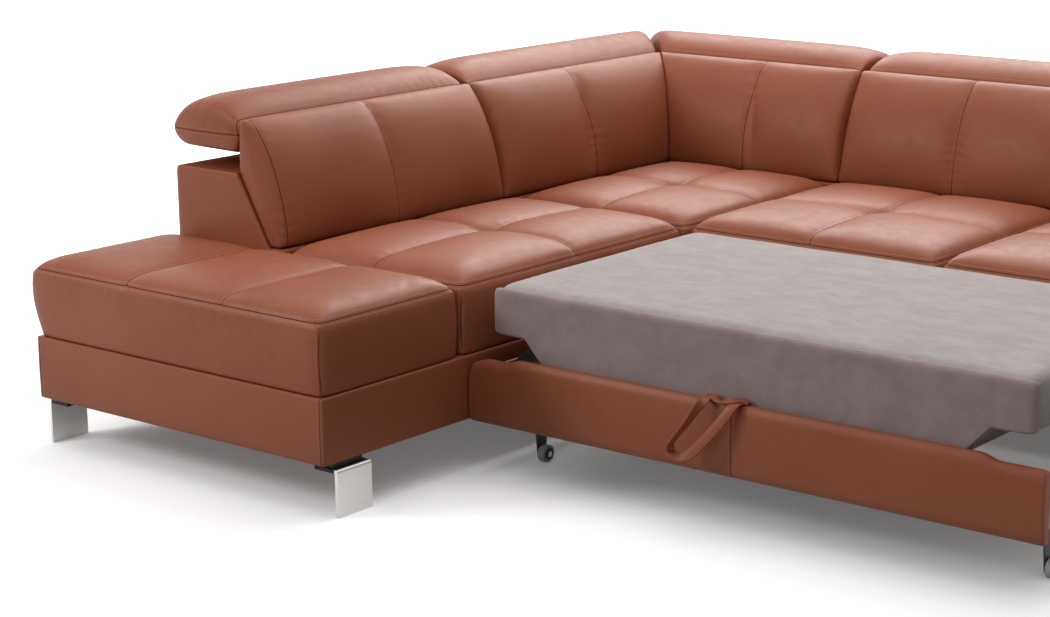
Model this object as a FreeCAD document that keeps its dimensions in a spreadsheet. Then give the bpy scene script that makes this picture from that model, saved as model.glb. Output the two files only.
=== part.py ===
import FreeCAD, Part
import Sketcher
import math
import os
import re

# Corner sofa bed in millimetres: X runs along the main sofa, Y to its back, Z up.
# Every piece is drawn from the floor point below the inner near corner of the
# footstool end, and its Placement carries it to the centre of the sofa's footprint.

os.makedirs("parts", exist_ok=True)
document = FreeCAD.newDocument("CornerSofa")
sheet = document.addObject("Spreadsheet::Sheet", "Sizes")

DRIVING_SIZES = {
    # Overall
    "wing_depth": 931,
    "overall_depth": 2370,
    "main_width": 1456,
    "sidearm_width": 220,
    "sidearm_height": 590,
    "footstool_length": 448,
    "seat_front": 1305,
    "module_gap": 4,
    # Heights of the layers
    "leg_height": 120,
    "plinth_top": 268,
    "seat_base": 274,
    "seat_seam": 426,
    "seat_crown": 48,
    "footstool_crown": 36,
    # Boards, leather and small gaps
    "board": 18,
    "leather": 5,
    "soft_gap": 2,
    "fit_gap": 0.3,
    # Seats
    "seat_wall": 32,
    "seat_pocket": 12,
    "side_bulge": 6,
    "edge_rise": 26,
    "edge_reach": 62,
    "tuft_drop": 16,
    "seam_drop": 5,
    "seam_half": 14,
    # Back box and back cushions, measured inward from the outer face
    "box_top": 617,
    "box_top_depth": 215,
    "box_foot_depth": 316,
    "box_foot_height": 442,
    "crease_depth": 354,
    "box_corner": 30,
    "cushion_seam_depth": 231,
    "cushion_seam_height": 745,
    "cushion_crown": 38,
    # Headrests
    "hinge_depth": 216,
    "hinge_height": 733,
    "lip_radius": 11,
    "headrest_reach": 39,
    "headrest_top": 787,
    "headrest_bottom": 656,
    "bracket_plate": 4,
    "bracket_inset": 150,
    "hinge_pin_radius": 4,
    "running_gap": 0.05,
    "corner_spread": 0.978,
    "corner_lean": 0.1,
    "corner_gap": 9,
    # Plate legs and back feet
    "leg_plate": 8,
    "leg_plate_width": 105,
    "leg_start": 30,
    "leg_flange": 60,
    "leg_spacer": 13,
    "leg_proud": 10,
    "foot_radius": 22,
    "foot_inset": 30,
    # Bed drawer
    "drawer_front": 463,
    "drawer_thick": 25,
    "drawer_top": 276,
    "drawer_end_top": 265,
    "drawer_low": 118,
    "drawer_step": 105,
    "drawer_slope": 44,
    "gable": 16,
    "rail_thick": 8,
    "rail_low": 130,
    "rail_top": 240,
    "rail_end": 1500,
    "runner_deep": 8,
    "runner_height": 30,
    "runner_low": 150,
    "runner_wall": 2,
    # Castors on short carrier arms under the drawer's rails
    "wheel_radius": 20.5,
    "wheel_width": 19,
    "wheel_inset": 97.5,
    "castor_centre": 617,
    "castor_cheek": 4,
    "axle_radius": 4,
    "carrier_low": 124,
    "carrier_high": 16,
    "carrier_wide": 44,
    # Lift arms
    "lift_arm_length": 300,
    "lift_drop": 178,
    "lift_pivot_height": 211,
    "lift_front_pivot": 545,
    "lift_pivot_spacing": 360,
    "lift_plate": 4,
    "lift_plate_width": 30,
    "lift_pin_radius": 5,
    "lift_side_gap": 1.5,
    # Raised mattress
    "mattress_left": 50,
    "mattress_right": 1414,
    "mattress_front": 495,
    "mattress_back": 1275,
    "mattress_low": 335,
    "mattress_top": 436,
    "mattress_crown": 7,
    "deck_thick": 12,
    "keel_low": 262,
    "keel_back": 1180,
    "keel_top_inset": 95,
    "keel_low_inset": 152,
    # Pull strap
    "strap_width": 20,
    "strap_thick": 3,
}

for row, (alias, value) in enumerate(DRIVING_SIZES.items(), start=1):
    sheet.set(f"A{row}", str(value))
    sheet.setAlias(f"A{row}", alias)
document.recompute()

ALIAS_PATTERN = re.compile(r"\b(" + "|".join(sorted(DRIVING_SIZES, key=len, reverse=True)) + r")\b")


def size(alias):
    """A driving size, read back from the sheet."""
    return float(sheet.get(alias))


def bind(target, path, formula):
    """Tie one property of an object to a formula of the sheet's sizes."""
    target.setExpression(path, ALIAS_PATTERN.sub(r"Sizes.\1", formula))


# The footprint's centre, which every Placement brings to the origin
low_x = -size("wing_depth") - size("headrest_reach")
high_x = size("main_width") + size("module_gap") + size("sidearm_width") + size("leg_proud")
high_y = size("overall_depth") + size("headrest_reach")
to_origin = FreeCAD.Vector(-(low_x + high_x) / 2, -high_y / 2, 0)

sub_parts = []


def keep(piece, label):
    """Name a finished sub-part and carry it to the sofa's own frame."""
    piece.Label = label
    piece.Placement = FreeCAD.Placement(to_origin, FreeCAD.Rotation())
    sub_parts.append(piece)
    return piece


def block(corner, extent):
    """A box whose corner and three lengths are formulas of the sheet's sizes."""
    box = document.addObject("Part::Box", "Block")
    for path, formula in zip(("x", "y", "z"), corner):
        bind(box, f"Placement.Base.{path}", formula)
    for path, formula in zip(("Length", "Width", "Height"), extent):
        bind(box, path, formula)
    return box


def cut(base, tool):
    """The base solid without the tool's."""
    result = document.addObject("Part::Cut", "Cut")
    result.Base = base
    result.Tool = tool
    return result


def group(label, pieces):
    """A node of one or more separate solids."""
    compound = document.addObject("Part::Compound", "Group")
    compound.Links = list(pieces)
    return keep(compound, label)


def origin_plane(body, role):
    return next(item for item in body.Origin.OriginFeatures if item.Role == role)


def hex_head(centre, outward, radius, height):
    """A bolt's six-sided head on an X axis."""
    corners = []
    for step in range(6):
        turn = math.radians(60 * step)
        corners.append(centre + FreeCAD.Vector(0, radius * math.cos(turn), radius * math.sin(turn)))
    return Part.Face(Part.makePolygon(corners + corners[:1])).extrude(outward * height)


def padded_outline(role, outline, start, length):
    """A body padded from a closed outline whose corners are formulas.

    On XZ_Plane the pad grows towards -Y from start, on YZ_Plane towards +X
    and on XY_Plane towards +Z.
    """
    body = document.addObject("PartDesign::Body", "Body")
    sketch = body.newObject("Sketcher::SketchObject", "Outline")
    sketch.AttachmentSupport = [(origin_plane(body, role), "")]
    sketch.MapMode = "FlatFace"
    bind(sketch, "AttachmentOffset.Base.z", start)
    count = len(outline)
    for corner in range(count):
        begin = FreeCAD.Vector(corner, corner * corner, 0)
        end = FreeCAD.Vector(corner + 1, (corner + 1) ** 2, 0)
        sketch.addGeometry(Part.LineSegment(begin, end), False)
    for corner in range(count):
        sketch.addConstraint(Sketcher.Constraint("Coincident", corner, 2, (corner + 1) % count, 1))
    for corner, formulas in enumerate(outline):
        for direction, formula in zip("XY", formulas):
            kind = "Distance" + direction
            index = sketch.addConstraint(Sketcher.Constraint(kind, -1, 1, corner, 1, corner + 1.0))
            name = f"{direction.lower()}{corner}"
            sketch.renameConstraint(index, name)
            bind(sketch, f"Constraints.{name}", formula)
    pad = body.newObject("PartDesign::Pad", "Pad")
    pad.Profile = sketch
    bind(pad, "Length", length)
    return body


def shaped(shape, label):
    """A node whose form is set directly: lofts through lines and arcs."""
    feature = document.addObject("Part::Feature", label)
    feature.Shape = shape
    return keep(feature, label)


# Soft forms

def arc_through(start, end, rise, towards):
    """An arc from start to end that stands off its chord by rise."""
    middle = (start + end) * 0.5 + towards * rise
    return Part.Arc(start, middle, end).toShape()


def outline_wire(points, rises):
    """A closed flat wire: each side is a line, or an arc with the given rise to the left.

    The points run so that the left of each side is outside the form.
    """
    edges = []
    count = len(points)
    normal = FreeCAD.Vector()
    for index in range(count):
        normal += points[index].cross(points[(index + 1) % count])
    normal.normalize()
    for index in range(count):
        start = points[index]
        end = points[(index + 1) % count]
        if abs(rises[index]) < 1e-6:
            edges.append(Part.LineSegment(start, end).toShape())
        else:
            outward = (end - start).cross(normal)
            outward.normalize()
            edges.append(arc_through(start, end, rises[index], outward))
    return Part.Wire(edges)


def ease(distance, reach):
    """How full a crown stands at a distance from its edge, from 0 to 1."""
    part = min(1.0, max(0.0, distance / reach))
    return math.sqrt(1 - (1 - part) ** 2)


def stations(low, high, seams):
    """Section places along a cushion: close at both ends and beside each seam."""
    half = size("seam_half")
    reach = size("edge_reach")
    places = [low, low + 0.25 * reach, low + 1.1 * reach]
    for seam in seams:
        places += [seam - half, seam, seam + half]
    places += [high - 1.1 * reach, high - 0.25 * reach, high]
    return sorted(places)


def seat_solid(along, low, high, front, back, crown, tuft_across, seams):
    """A seat block: upright bulging sides, a crowned top and sewn cross seams.

    along is the axis that the sections follow; front and back are the ends of
    each section. tuft_across is the place of the seam that runs along the
    block, or None.
    """
    base = size("seat_base")
    seam_height = size("seat_seam")
    rise = size("edge_rise")
    reach = size("edge_reach")
    bulge = size("side_bulge")
    sign = 1 if back > front else -1
    wires = []
    for place in stations(low, high, seams):
        edge_distance = min(place - low, high - place)
        fullness = ease(edge_distance, 1.2 * reach)
        end_bulge = bulge * (1 - ease(edge_distance, 0.5 * reach))
        on_seam = place in seams
        lift = 3 + (rise - 3) * fullness
        top = 4 + (crown - 4) * fullness - (size("seam_drop") if on_seam else 0)
        first = front + sign * (bulge + end_bulge)
        last = back - sign * (bulge + end_bulge)
        points = [(first, base), (last, base), (last, seam_height), (last - sign * reach, seam_height + lift)]
        rises = [0, bulge, 6 * fullness + 1]
        if tuft_across is not None:
            drop = size("seam_drop") * fullness
            if on_seam:
                drop = size("tuft_drop")
            points.append((tuft_across, seam_height + top - drop))
            rises += [5 * fullness + 1, 5 * fullness + 1]
        else:
            rises += [(crown - rise) * fullness + 1]
        points += [(first + sign * reach, seam_height + lift), (first, seam_height)]
        rises += [6 * fullness + 1, bulge]
        if along == "y":
            placed = [FreeCAD.Vector(across, place, height) for across, height in points]
        else:
            placed = [FreeCAD.Vector(place, across, height) for across, height in points]
        wires.append(outline_wire(placed, rises))
    return Part.makeLoft(wires, True, True)


def seat_pocket(low, high, near, far, along, open_end):
    """The hollow under a seat block that its base board fills; one end may run through."""
    wall = size("seat_wall")
    depth = size("seat_pocket")
    start = low - 1 if open_end == "low" else low + wall
    end = high + 1 if open_end == "high" else high - wall
    across = min(near, far) + wall
    width = abs(far - near) - 2 * wall
    if along == "y":
        corner = FreeCAD.Vector(across, start, size("seat_base") - 1)
        return Part.makeBox(width, end - start, depth + 1, corner)
    corner = FreeCAD.Vector(start, across, size("seat_base") - 1)
    return Part.makeBox(end - start, width, depth + 1, corner)


def seat(label, along, low, high, front, back, crown, tufted=True, seams=None, open_end=None):
    gap = size("soft_gap")
    across = (front + back) / 2 if tufted else None
    seams = [(low + high) / 2] if seams is None else seams
    body = seat_solid(along, low + gap, high - gap, front, back, crown, across, seams)
    hollow = seat_pocket(low + gap, high - gap, front, back, along, open_end)
    return shaped(body.cut(hollow), label)


wing_low = -size("wing_depth")
wing_crease = wing_low + size("crease_depth")
main_crease = size("overall_depth") - size("crease_depth")
seat_split = size("main_width") / 2

seat("footstool_seat", "x", wing_low, 0, 0, size("footstool_length") - size("soft_gap"),
     size("footstool_crown"), tufted=False, seams=[wing_low / 3 * 2, wing_low / 3])
seat("wing_seat", "y", size("footstool_length"), size("seat_front"), 0, wing_crease + size("soft_gap"),
     size("seat_crown"))
seat("corner_seat", "x", wing_crease + size("soft_gap"), 0, size("seat_front") + size("soft_gap"),
     main_crease - size("soft_gap"), size("seat_crown"))
seat("main_seat_left", "x", 0, seat_split, size("seat_front"), main_crease - size("soft_gap"),
     size("seat_crown"), open_end="high")
seat("main_seat_right", "x", seat_split, size("main_width"), size("seat_front"),
     main_crease - size("soft_gap"), size("seat_crown"), open_end="low")


# Back cushions and headrests stand along two walls: the wing's outer face and the main back.
# A wall point is given by its place along the wall, its depth inward and its height.

def wall_point(wall, along, depth, height):
    if wall == "wing":
        return FreeCAD.Vector(wing_low + depth, along, height)
    return FreeCAD.Vector(along, size("overall_depth") - depth, height)


def mitre_place(wall, depth, offset, spread=1.0):
    """Where the corner's mitre cuts a wall at a depth, offset away from the corner.

    A spread under 1 opens the mitre outward from the hinge line.
    """
    pivot = size("hinge_depth")
    slanted = pivot + (depth - pivot) * spread
    if wall == "wing":
        return size("overall_depth") - slanted - offset
    return wing_low + slanted + offset


def wall_loft(wall, low, high, profile, seams=(), square=None):
    """A ruled loft along a wall; profile(shrink, fullness, on_seam) gives points and rises.

    square names an end that keeps the full section, because a mitre cuts it.
    """
    reach = size("edge_reach")
    half = size("seam_half")
    steps = [(0, 1.0), (0.35, 0.3), (1.2, 0.0)]
    sections = []
    for step, shrink in steps:
        if square != "low":
            sections.append((low + step * reach, shrink, ease(step, 1.4), False))
        if square != "high":
            sections.append((high - step * reach, shrink, ease(step, 1.4), False))
    if square is not None:
        sections.append((low if square == "low" else high, 0.0, 1.0, False))
    for seam in seams:
        for place in (seam - half, seam, seam + half):
            sections.append((place, 0.0, 1.0, place == seam))
    wires = []
    for place, shrink, fullness, on_seam in sorted(sections):
        points, rises = profile(shrink, fullness, on_seam)
        placed = [wall_point(wall, place, depth, height) for depth, height in points]
        if wall == "main":
            placed = placed[::-1]
            rises = rises[-2::-1] + rises[-1:]
        wires.append(outline_wire(placed, rises))
    return Part.makeLoft(wires, True, True)


def beyond_mitre(wall, offset, spread, lean=0.0):
    """A prism that covers everything past the corner's mitre, to cut a cushion there.

    A lean draws the cut back from the corner as it rises above the hinge line.
    """
    corners = []
    offset -= lean * size("hinge_height")
    for depth in (-200, 600):
        corners.append(wall_point(wall, mitre_place(wall, depth, offset, spread), depth, 0))
    past = 900 if wall == "wing" else -900
    for depth in (600, -200):
        corners.append(wall_point(wall, mitre_place(wall, depth, offset, spread) + past, depth, 0))
    face = Part.Face(Part.makePolygon(corners + corners[:1]))
    drawn_back = -1000 * lean if wall == "wing" else 1000 * lean
    sideways = wall_point(wall, drawn_back, 0, 0) - wall_point(wall, 0, 0, 0)
    return face.extrude(sideways + FreeCAD.Vector(0, 0, 1000))


def cushion_profile(shrink, fullness, on_seam):
    """Back cushion section: leaning back face, crowned front and rounded top edge."""
    gap = size("soft_gap")
    inset = 12 * shrink
    groove = size("seam_drop") if on_seam else 0
    crown = 3 + (size("cushion_crown") - 3) * fullness - groove
    seam_depth = size("cushion_seam_depth")
    seam_top = size("cushion_seam_height")
    slope = (size("box_foot_depth") - size("box_top_depth")) / (size("box_top") - size("box_foot_height"))
    foot = size("box_foot_height") + 2 * gap
    behind = 2 * size("fit_gap")
    foot_depth = size("box_foot_depth") + behind - slope * (foot - size("box_foot_height"))
    points = [
        (foot_depth + inset, foot + inset),
        (size("crease_depth") - 4 - inset, foot + inset),
        (seam_depth + 1 - 0.3 * groove, seam_top - inset - 1.2 * groove),
        (seam_depth - 9, seam_top - 45),
        (size("box_top_depth") + behind + 0.5 * inset, size("box_top") + 2),
    ]
    rises = [0, crown, 2, 0, 0]
    return points, rises


def headrest_profile(shrink, fullness, on_seam):
    """Headrest section, folded back: round lip at the hinge, crowned top, round rear."""
    lip = size("lip_radius")
    pivot_depth = size("hinge_depth")
    pivot_height = size("hinge_height")
    bottom = size("headrest_bottom") + 9 * shrink
    top = size("headrest_top") - 14 * shrink
    rear = -size("headrest_reach") + 12 * shrink
    turn = math.radians(60)
    points = [
        (pivot_depth + lip * math.cos(turn), pivot_height - lip * math.sin(turn)),
        (pivot_depth + lip * math.cos(turn), pivot_height + lip * math.sin(turn)),
        (75, top),
        (rear, 706),
        (30 - 6 * shrink, bottom),
        (pivot_depth - 12 - 4 * shrink, bottom),
    ]
    lip_rise = lip * (1 - math.cos(turn))
    rises = [lip_rise, 13 + 3 * fullness, 21, 9, 0, 0]
    return points, rises


wing_end = size("footstool_length") + 2
wing_split = size("seat_front") - 20
cushions = [
    ("1", "wing", wing_end, wing_split, None),
    ("2", "wing", wing_split, None, "high"),
    ("3", "main", None, 0.0, "low"),
    ("4", "main", 0.0, seat_split, None),
    ("5", "main", seat_split, size("main_width"), None),
]


def hinge_places(wall, low, high, mitre):
    """Where a headrest's two hinge brackets stand along its wall."""
    inset = size("bracket_inset")
    near = mitre_place(wall, size("hinge_depth"), inset) if mitre == "low" else low + inset
    far = mitre_place(wall, size("hinge_depth"), inset) if mitre == "high" else high - inset
    return [near, far]


def wall_box(wall, along, depth, height, extents):
    """A box given by its lowest place, depth and height and three extents in wall terms."""
    first = wall_point(wall, along, depth, height)
    last = wall_point(wall, along + extents[0], depth + extents[1], height + extents[2])
    corner = FreeCAD.Vector(min(first.x, last.x), min(first.y, last.y), min(first.z, last.z))
    return Part.makeBox(abs(last.x - first.x), abs(last.y - first.y), abs(last.z - first.z), corner)


def wall_plate(wall, along, thickness, outline):
    """A plate standing square to its wall, from an outline of depths and heights."""
    points = [wall_point(wall, along, depth, height) for depth, height in outline]
    face = Part.Face(Part.makePolygon(points + points[:1]))
    step = wall_point(wall, along + thickness, 0, 0) - wall_point(wall, along, 0, 0)
    return face.extrude(step)


def eye_outline(radius, first, last):
    """Corners of an eight-sided eye round the hinge line, from one compass step to another."""
    corners = []
    for step in range(first, last + 1):
        turn = math.radians(22.5 + 45 * step)
        corners.append((size("hinge_depth") + radius * math.cos(turn),
                        size("hinge_height") + radius * math.sin(turn)))
    return corners


def wall_disc(wall, along, thickness, radius):
    """A disc round the headrest hinge line."""
    centre = wall_point(wall, along, size("hinge_depth"), size("hinge_height"))
    step = wall_point(wall, along + thickness, 0, 0) - wall_point(wall, along, 0, 0)
    return Part.makeCylinder(radius, abs(thickness), centre, step)


fixed_brackets = []
hinge_pins = []
for name, wall, low, high, mitre in cushions:
    gap = size("soft_gap")
    seam = None
    if mitre is None:
        seam = (low + high) / 2
    elif wall == "wing":
        seam = (low + mitre_place(wall, size("hinge_depth"), 0)) / 2
    else:
        seam = (high + mitre_place(wall, size("hinge_depth"), 0)) / 2
    start = None if mitre == "low" else low + gap
    end = None if mitre == "high" else high - gap
    if mitre == "low":
        start = wing_low - 60
    if mitre == "high":
        end = size("overall_depth") + 60
    cushion = wall_loft(wall, start, end, cushion_profile, (seam,), mitre)
    pad = wall_loft(wall, start, end, headrest_profile, (), mitre)
    if mitre:
        cushion = cushion.cut(beyond_mitre(wall, gap, 1.0))
        pad = pad.cut(beyond_mitre(wall, size("corner_gap"), size("corner_spread"), size("corner_lean")))
    shaped(cushion, f"back_cushion_{name}")

    plate = size("bracket_plate")
    boss = size("lip_radius") - 2
    pin = size("hinge_pin_radius")
    arms = []
    for place in hinge_places(wall, low, high, mitre):
        notch = wall_box(wall, place - plate, 132, size("headrest_bottom") - 1,
                         (4.25 * plate, 100, size("hinge_height") + 14 - size("headrest_bottom")))
        pad = pad.cut(notch)
        top = size("box_top")
        web = wall_plate(wall, place, plate, [(168, top + plate), (212, top + plate), (216, top + 60)]
                         + eye_outline(boss, -1, 4) + [(196, top + 60)])
        foot = wall_box(wall, place - 26, 158, top, (30, 54, plate))
        fixed = web.fuse(foot)
        fixed_brackets.append(fixed.cut(wall_disc(wall, place, plate, pin)).removeSplitter())
        beside = place + plate + 0.4
        under = size("headrest_bottom") - plate
        link = wall_plate(wall, beside, plate, [(60, under), (150, under)] + eye_outline(boss, -2, 3)
                          + [(140, 700), (134, under + plate), (60, under + plate)])
        flange = wall_box(wall, beside, 40, under, (30, 88, plate))
        moving = link.fuse(flange)
        hole = wall_disc(wall, beside, plate, pin + size("running_gap"))
        arms.append(moving.cut(hole).removeSplitter())
        hinge_pins.append(wall_disc(wall, place, 2 * plate + 2, pin))
    shaped(pad, f"headrest_{name}")
    shaped(Part.makeCompound(arms), f"headrest_{name}_arms")
shaped(Part.makeCompound(fixed_brackets), "headrest_brackets")
shaped(Part.makeCompound(hinge_pins), "headrest_pins")


# Back boxes: leather covered panels on upright timber ribs
back_ribs = []


def box_outlines():
    """The back box section: outer faces, the panels' inner faces and a rib's outline."""
    cover = size("leather")
    base = size("seat_base")
    top = size("box_top")
    corner = size("box_corner")
    crease = size("crease_depth")
    foot = size("box_foot_height")
    outer = [
        (0, base), (crease, base), (crease, foot), (size("box_foot_depth"), foot),
        (size("box_top_depth"), top), (corner, top), (0, top - corner),
    ]
    inner = [
        (cover, base), (crease - cover, base), (crease - cover, foot - cover),
        (size("box_foot_depth") - cover, foot - cover), (size("box_top_depth") - cover, top - cover),
        (corner + cover * 0.4, top - cover), (cover, top - corner - cover * 0.4),
    ]
    rib = [(cover, size("plinth_top")), (crease - cover, size("plinth_top"))] + inner[2:]
    return outer, inner, rib


def panels(wall, place_of_low, place_of_high):
    """The five covered faces between two ends, each end a function of the depth."""
    outer, inner, _ = box_outlines()
    skins = []
    for index in range(1, len(outer)):
        following = (index + 1) % len(outer)
        strip = [outer[index], outer[following], inner[following], inner[index]]
        ends = []
        for place_of in (place_of_low, place_of_high):
            points = [wall_point(wall, place_of(depth), depth, height) for depth, height in strip]
            ends.append(Part.makePolygon(points + points[:1]))
        skins.append(Part.makeLoft(ends, True, True))
    return skins


wing_back_end = size("footstool_length")
wing_back_far = size("seat_front") - size("module_gap")
outer_outline, inner_outline, rib_outline = box_outlines()
wing_skins = panels("wing", lambda depth: wing_back_end + size("leather"), lambda depth: wing_back_far)
wing_skins.append(wall_plate("wing", wing_back_end, size("leather"), outer_outline))
shaped(Part.makeCompound(wing_skins), "wing_back_cover")
corner_skins = panels("wing", lambda depth: size("seat_front"), lambda depth: mitre_place("wing", depth, 0))
corner_skins += panels("main", lambda depth: mitre_place("main", depth, 0), lambda depth: 0)
shaped(Part.makeCompound(corner_skins), "corner_back_cover")
main_skins = panels("main", lambda depth: size("module_gap"), lambda depth: size("main_width"))
shaped(Part.makeCompound(main_skins), "main_back_cover")

rib_board = size("board")
wing_span = wing_back_far - wing_back_end - size("leather") - rib_board
main_span = size("main_width") - size("module_gap") - rib_board
rib_sites = [("wing", wing_back_end + size("leather") + wing_span * share) for share in (0, 0.5, 1)]
rib_sites += [("wing", size("seat_front")), ("wing", size("seat_front") + 330)]
rib_sites += [("main", -330 - rib_board), ("main", -rib_board)]
rib_sites += [("main", size("module_gap") + main_span * share / 3) for share in range(4)]
for wall, place in rib_sites:
    back_ribs.append(wall_plate(wall, place, rib_board, rib_outline))
shaped(Part.makeCompound(back_ribs), "back_ribs")


# Plinths: leather covered boards round each module's foot

def plinth(prefix, left, right, near, far, sides, crossbars):
    """Covered rails round a rectangle, with crossbars; sides names the covered ones."""
    height = "plinth_top - leg_height"
    skins = []
    rails = []
    if "near" in sides:
        skins.append(block((left, near, "leg_height"), (f"({right}) - ({left})", "leather", height)))
    if "far" in sides:
        skins.append(block((left, f"({far}) - leather", "leg_height"),
                           (f"({right}) - ({left})", "leather", height)))
    inner_near = f"({near}) + {'leather' if 'near' in sides else '0'}"
    inner_far = f"({far}) - {'leather' if 'far' in sides else '0'}"
    inner_left = f"({left}) + {'leather' if 'left' in sides else '0'}"
    inner_right = f"({right}) - {'leather' if 'right' in sides else '0'}"
    span = f"({inner_far}) - ({inner_near})"
    if "left" in sides:
        skins.append(block((left, inner_near, "leg_height"), ("leather", span, height)))
    if "right" in sides:
        skins.append(block((f"({right}) - leather", inner_near, "leg_height"), ("leather", span, height)))
    for start in (inner_left, f"({inner_right}) - board"):
        rails.append(block((start, inner_near, "leg_height"), ("board", span, height)))
    across = f"({inner_right}) - ({inner_left}) - 2 * board"
    for place in [inner_near, f"({inner_far}) - board"] + crossbars:
        rails.append(block((f"({inner_left}) + board", place, "leg_height"), (across, "board", height)))
    group(f"{prefix}_plinth_cover", skins)
    group(f"{prefix}_plinth_frame", rails)


plinth("wing", "-wing_depth", "0", "0", "seat_front - module_gap", ("left", "right", "near"),
       ["seat_wall + board", "footstool_length - seat_wall - 2 * board", "footstool_length + seat_wall + board",
        "seat_front - seat_wall - 3 * board"])
plinth("corner", "-wing_depth", "0", "seat_front", "overall_depth", ("left", "far"),
       ["seat_front + seat_wall + board", "overall_depth - crease_depth - seat_wall - 2 * board"])

# Main module: a gable beside each end of the drawer and a rear board behind it
bay_depth = "overall_depth - leather - board - seat_front"
group("main_gables", [
    block(("module_gap", "seat_front", "leg_height"), ("gable", bay_depth, "plinth_top - leg_height")),
    block(("main_width - gable", "seat_front", "leg_height"), ("gable", bay_depth, "plinth_top - leg_height")),
    block(("module_gap", "overall_depth - leather - board", "leg_height"),
          ("main_width - module_gap", "board", "plinth_top - leg_height")),
])
group("main_plinth_cover", [
    block(("module_gap", "overall_depth - leather", "leg_height"),
          ("main_width - module_gap", "leather", "plinth_top - leg_height")),
])

# Interlocking steel plates that hold neighbouring modules together
link_z = "leg_height + 50"
group("module_connectors", [
    block(("-wing_depth * 0.8", "seat_front - module_gap", link_z), ("60", "module_gap", "70")),
    block(("-wing_depth * 0.2", "seat_front - module_gap", link_z), ("60", "module_gap", "70")),
    block(("0", "seat_front + 60", link_z), ("module_gap", "60", "70")),
    block(("0", "overall_depth - leather - 60", link_z), ("module_gap", "60", "70")),
    block(("main_width", "seat_front + 60", link_z), ("module_gap", "60", "70")),
    block(("main_width", "overall_depth - leather - 60", link_z), ("module_gap", "60", "70")),
])


# Base boards in the pockets under the seat blocks, and the ledges that carry the widest one
seat_boards = []


def seat_board(left, right, near, far):
    """A board that fills a pocket and rests on the plinth below."""
    gap = size("seat_wall") + size("soft_gap") + size("fit_gap")
    base = size("plinth_top")
    height = size("seat_base") + size("seat_pocket") - base
    corner = FreeCAD.Vector(left + gap, near + gap, base)
    seat_boards.append(Part.makeBox(right - left - 2 * gap, far - near - 2 * gap, height, corner))


board_far = main_crease - size("soft_gap")
seat_board(wing_low, 0, 0, size("footstool_length") - size("soft_gap"))
seat_board(wing_crease + size("soft_gap"), 0, size("footstool_length"), size("seat_front"))
seat_board(wing_crease + size("soft_gap"), 0, size("seat_front") + size("soft_gap"), board_far)
seat_board(0, size("main_width"), size("seat_front"), board_far)
ledge_reach = size("seat_wall") + size("soft_gap") + size("fit_gap") - size("module_gap")
for ledge_x in (size("module_gap"), size("main_width") - ledge_reach - size("module_gap")):
    for ledge_y in (size("seat_front") + 120, board_far - 200):
        corner = FreeCAD.Vector(ledge_x, ledge_y, size("plinth_top"))
        seat_boards.append(Part.makeBox(ledge_reach, 80, size("seat_base") - size("plinth_top"), corner))
shaped(Part.makeCompound(seat_boards), "seat_boards")

# Right arm: covered sides on timber panels and a padded top
arm_left = "main_width + module_gap"
arm_right = "main_width + module_gap + sidearm_width"
arm_pad_low = size("sidearm_height") - 60
arm_low_x = size("main_width") + size("module_gap")
arm_high_x = arm_low_x + size("sidearm_width")
arm_high_y = size("overall_depth")
arm_tall = f"{arm_pad_low} - leg_height"
arm_length = "overall_depth - seat_front - 2 * leather"
group("sidearm_cover", [
    block((arm_left, "seat_front", "leg_height"), ("sidearm_width", "leather", arm_tall)),
    block((arm_left, "overall_depth - leather", "leg_height"), ("sidearm_width", "leather", arm_tall)),
    block((arm_left, "seat_front + leather", "leg_height"), ("leather", arm_length, arm_tall)),
    block((f"{arm_right} - leather", "seat_front + leather", "leg_height"), ("leather", arm_length, arm_tall)),
])
arm_panels = [
    block((f"{arm_left} + leather", "seat_front + leather", "leg_height"), ("board", arm_length, arm_tall)),
    block((f"{arm_right} - leather - board", "seat_front + leather", "leg_height"),
          ("board", arm_length, arm_tall)),
]
for share in (0.0, 0.5, 1.0):
    place = f"seat_front + leather + ({arm_length} - board) * {share}"
    arm_panels.append(block((f"{arm_left} + leather + board", place, "leg_height"),
                            ("sidearm_width - 2 * leather - 2 * board", "board", arm_tall)))
group("sidearm_frame", arm_panels)


def sidearm_pad():
    """The arm's soft top: flat below, drawn in at its ends and crowned above."""
    wires = []
    gap = size("fit_gap")
    for place in stations(size("seat_front"), arm_high_y, []):
        distance = min(place - size("seat_front"), arm_high_y - place)
        fullness = ease(distance, size("edge_reach"))
        inset = 5 * (1 - fullness)
        x0, x1 = arm_low_x + inset + 4, arm_high_x - inset - 4
        low = arm_pad_low + gap
        side = low + 30 + 6 * fullness
        outline = [(x0, low), (x1, low), (x1, side), (x0, side)]
        placed = [FreeCAD.Vector(across, place, height) for across, height in outline]
        wires.append(outline_wire(placed, [0, 4, 4 + 19 * fullness, 4]))
    return Part.makeLoft(wires, True, True)


shaped(sidearm_pad(), "sidearm_pad")


# Legs: chromed plates bent into a top flange, on black spacers, and round back feet

def plate_leg(inner_face, direction, near):
    """One plate leg: upright plate and a flange bent inwards under its spacer."""
    thick = size("leg_plate")
    top = size("leg_height") - size("leg_spacer")
    outline = [
        (inner_face, 0), (inner_face + direction * thick, 0), (inner_face + direction * thick, top),
        (inner_face - direction * size("leg_flange"), top),
        (inner_face - direction * size("leg_flange"), top - thick), (inner_face, top - thick),
    ]
    points = [FreeCAD.Vector(across, near, height) for across, height in outline]
    plate = Part.Face(Part.makePolygon(points + points[:1])).extrude(
        FreeCAD.Vector(0, size("leg_plate_width"), 0))
    bend = [edge for edge in plate.Edges if abs(edge.Length - size("leg_plate_width")) < 0.01
            and edge.Vertexes[0].Z > top - 0.01
            and abs(edge.Vertexes[0].X - (inner_face + direction * thick)) < 0.01]
    return plate.makeFillet(thick * 0.9, bend)


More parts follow.
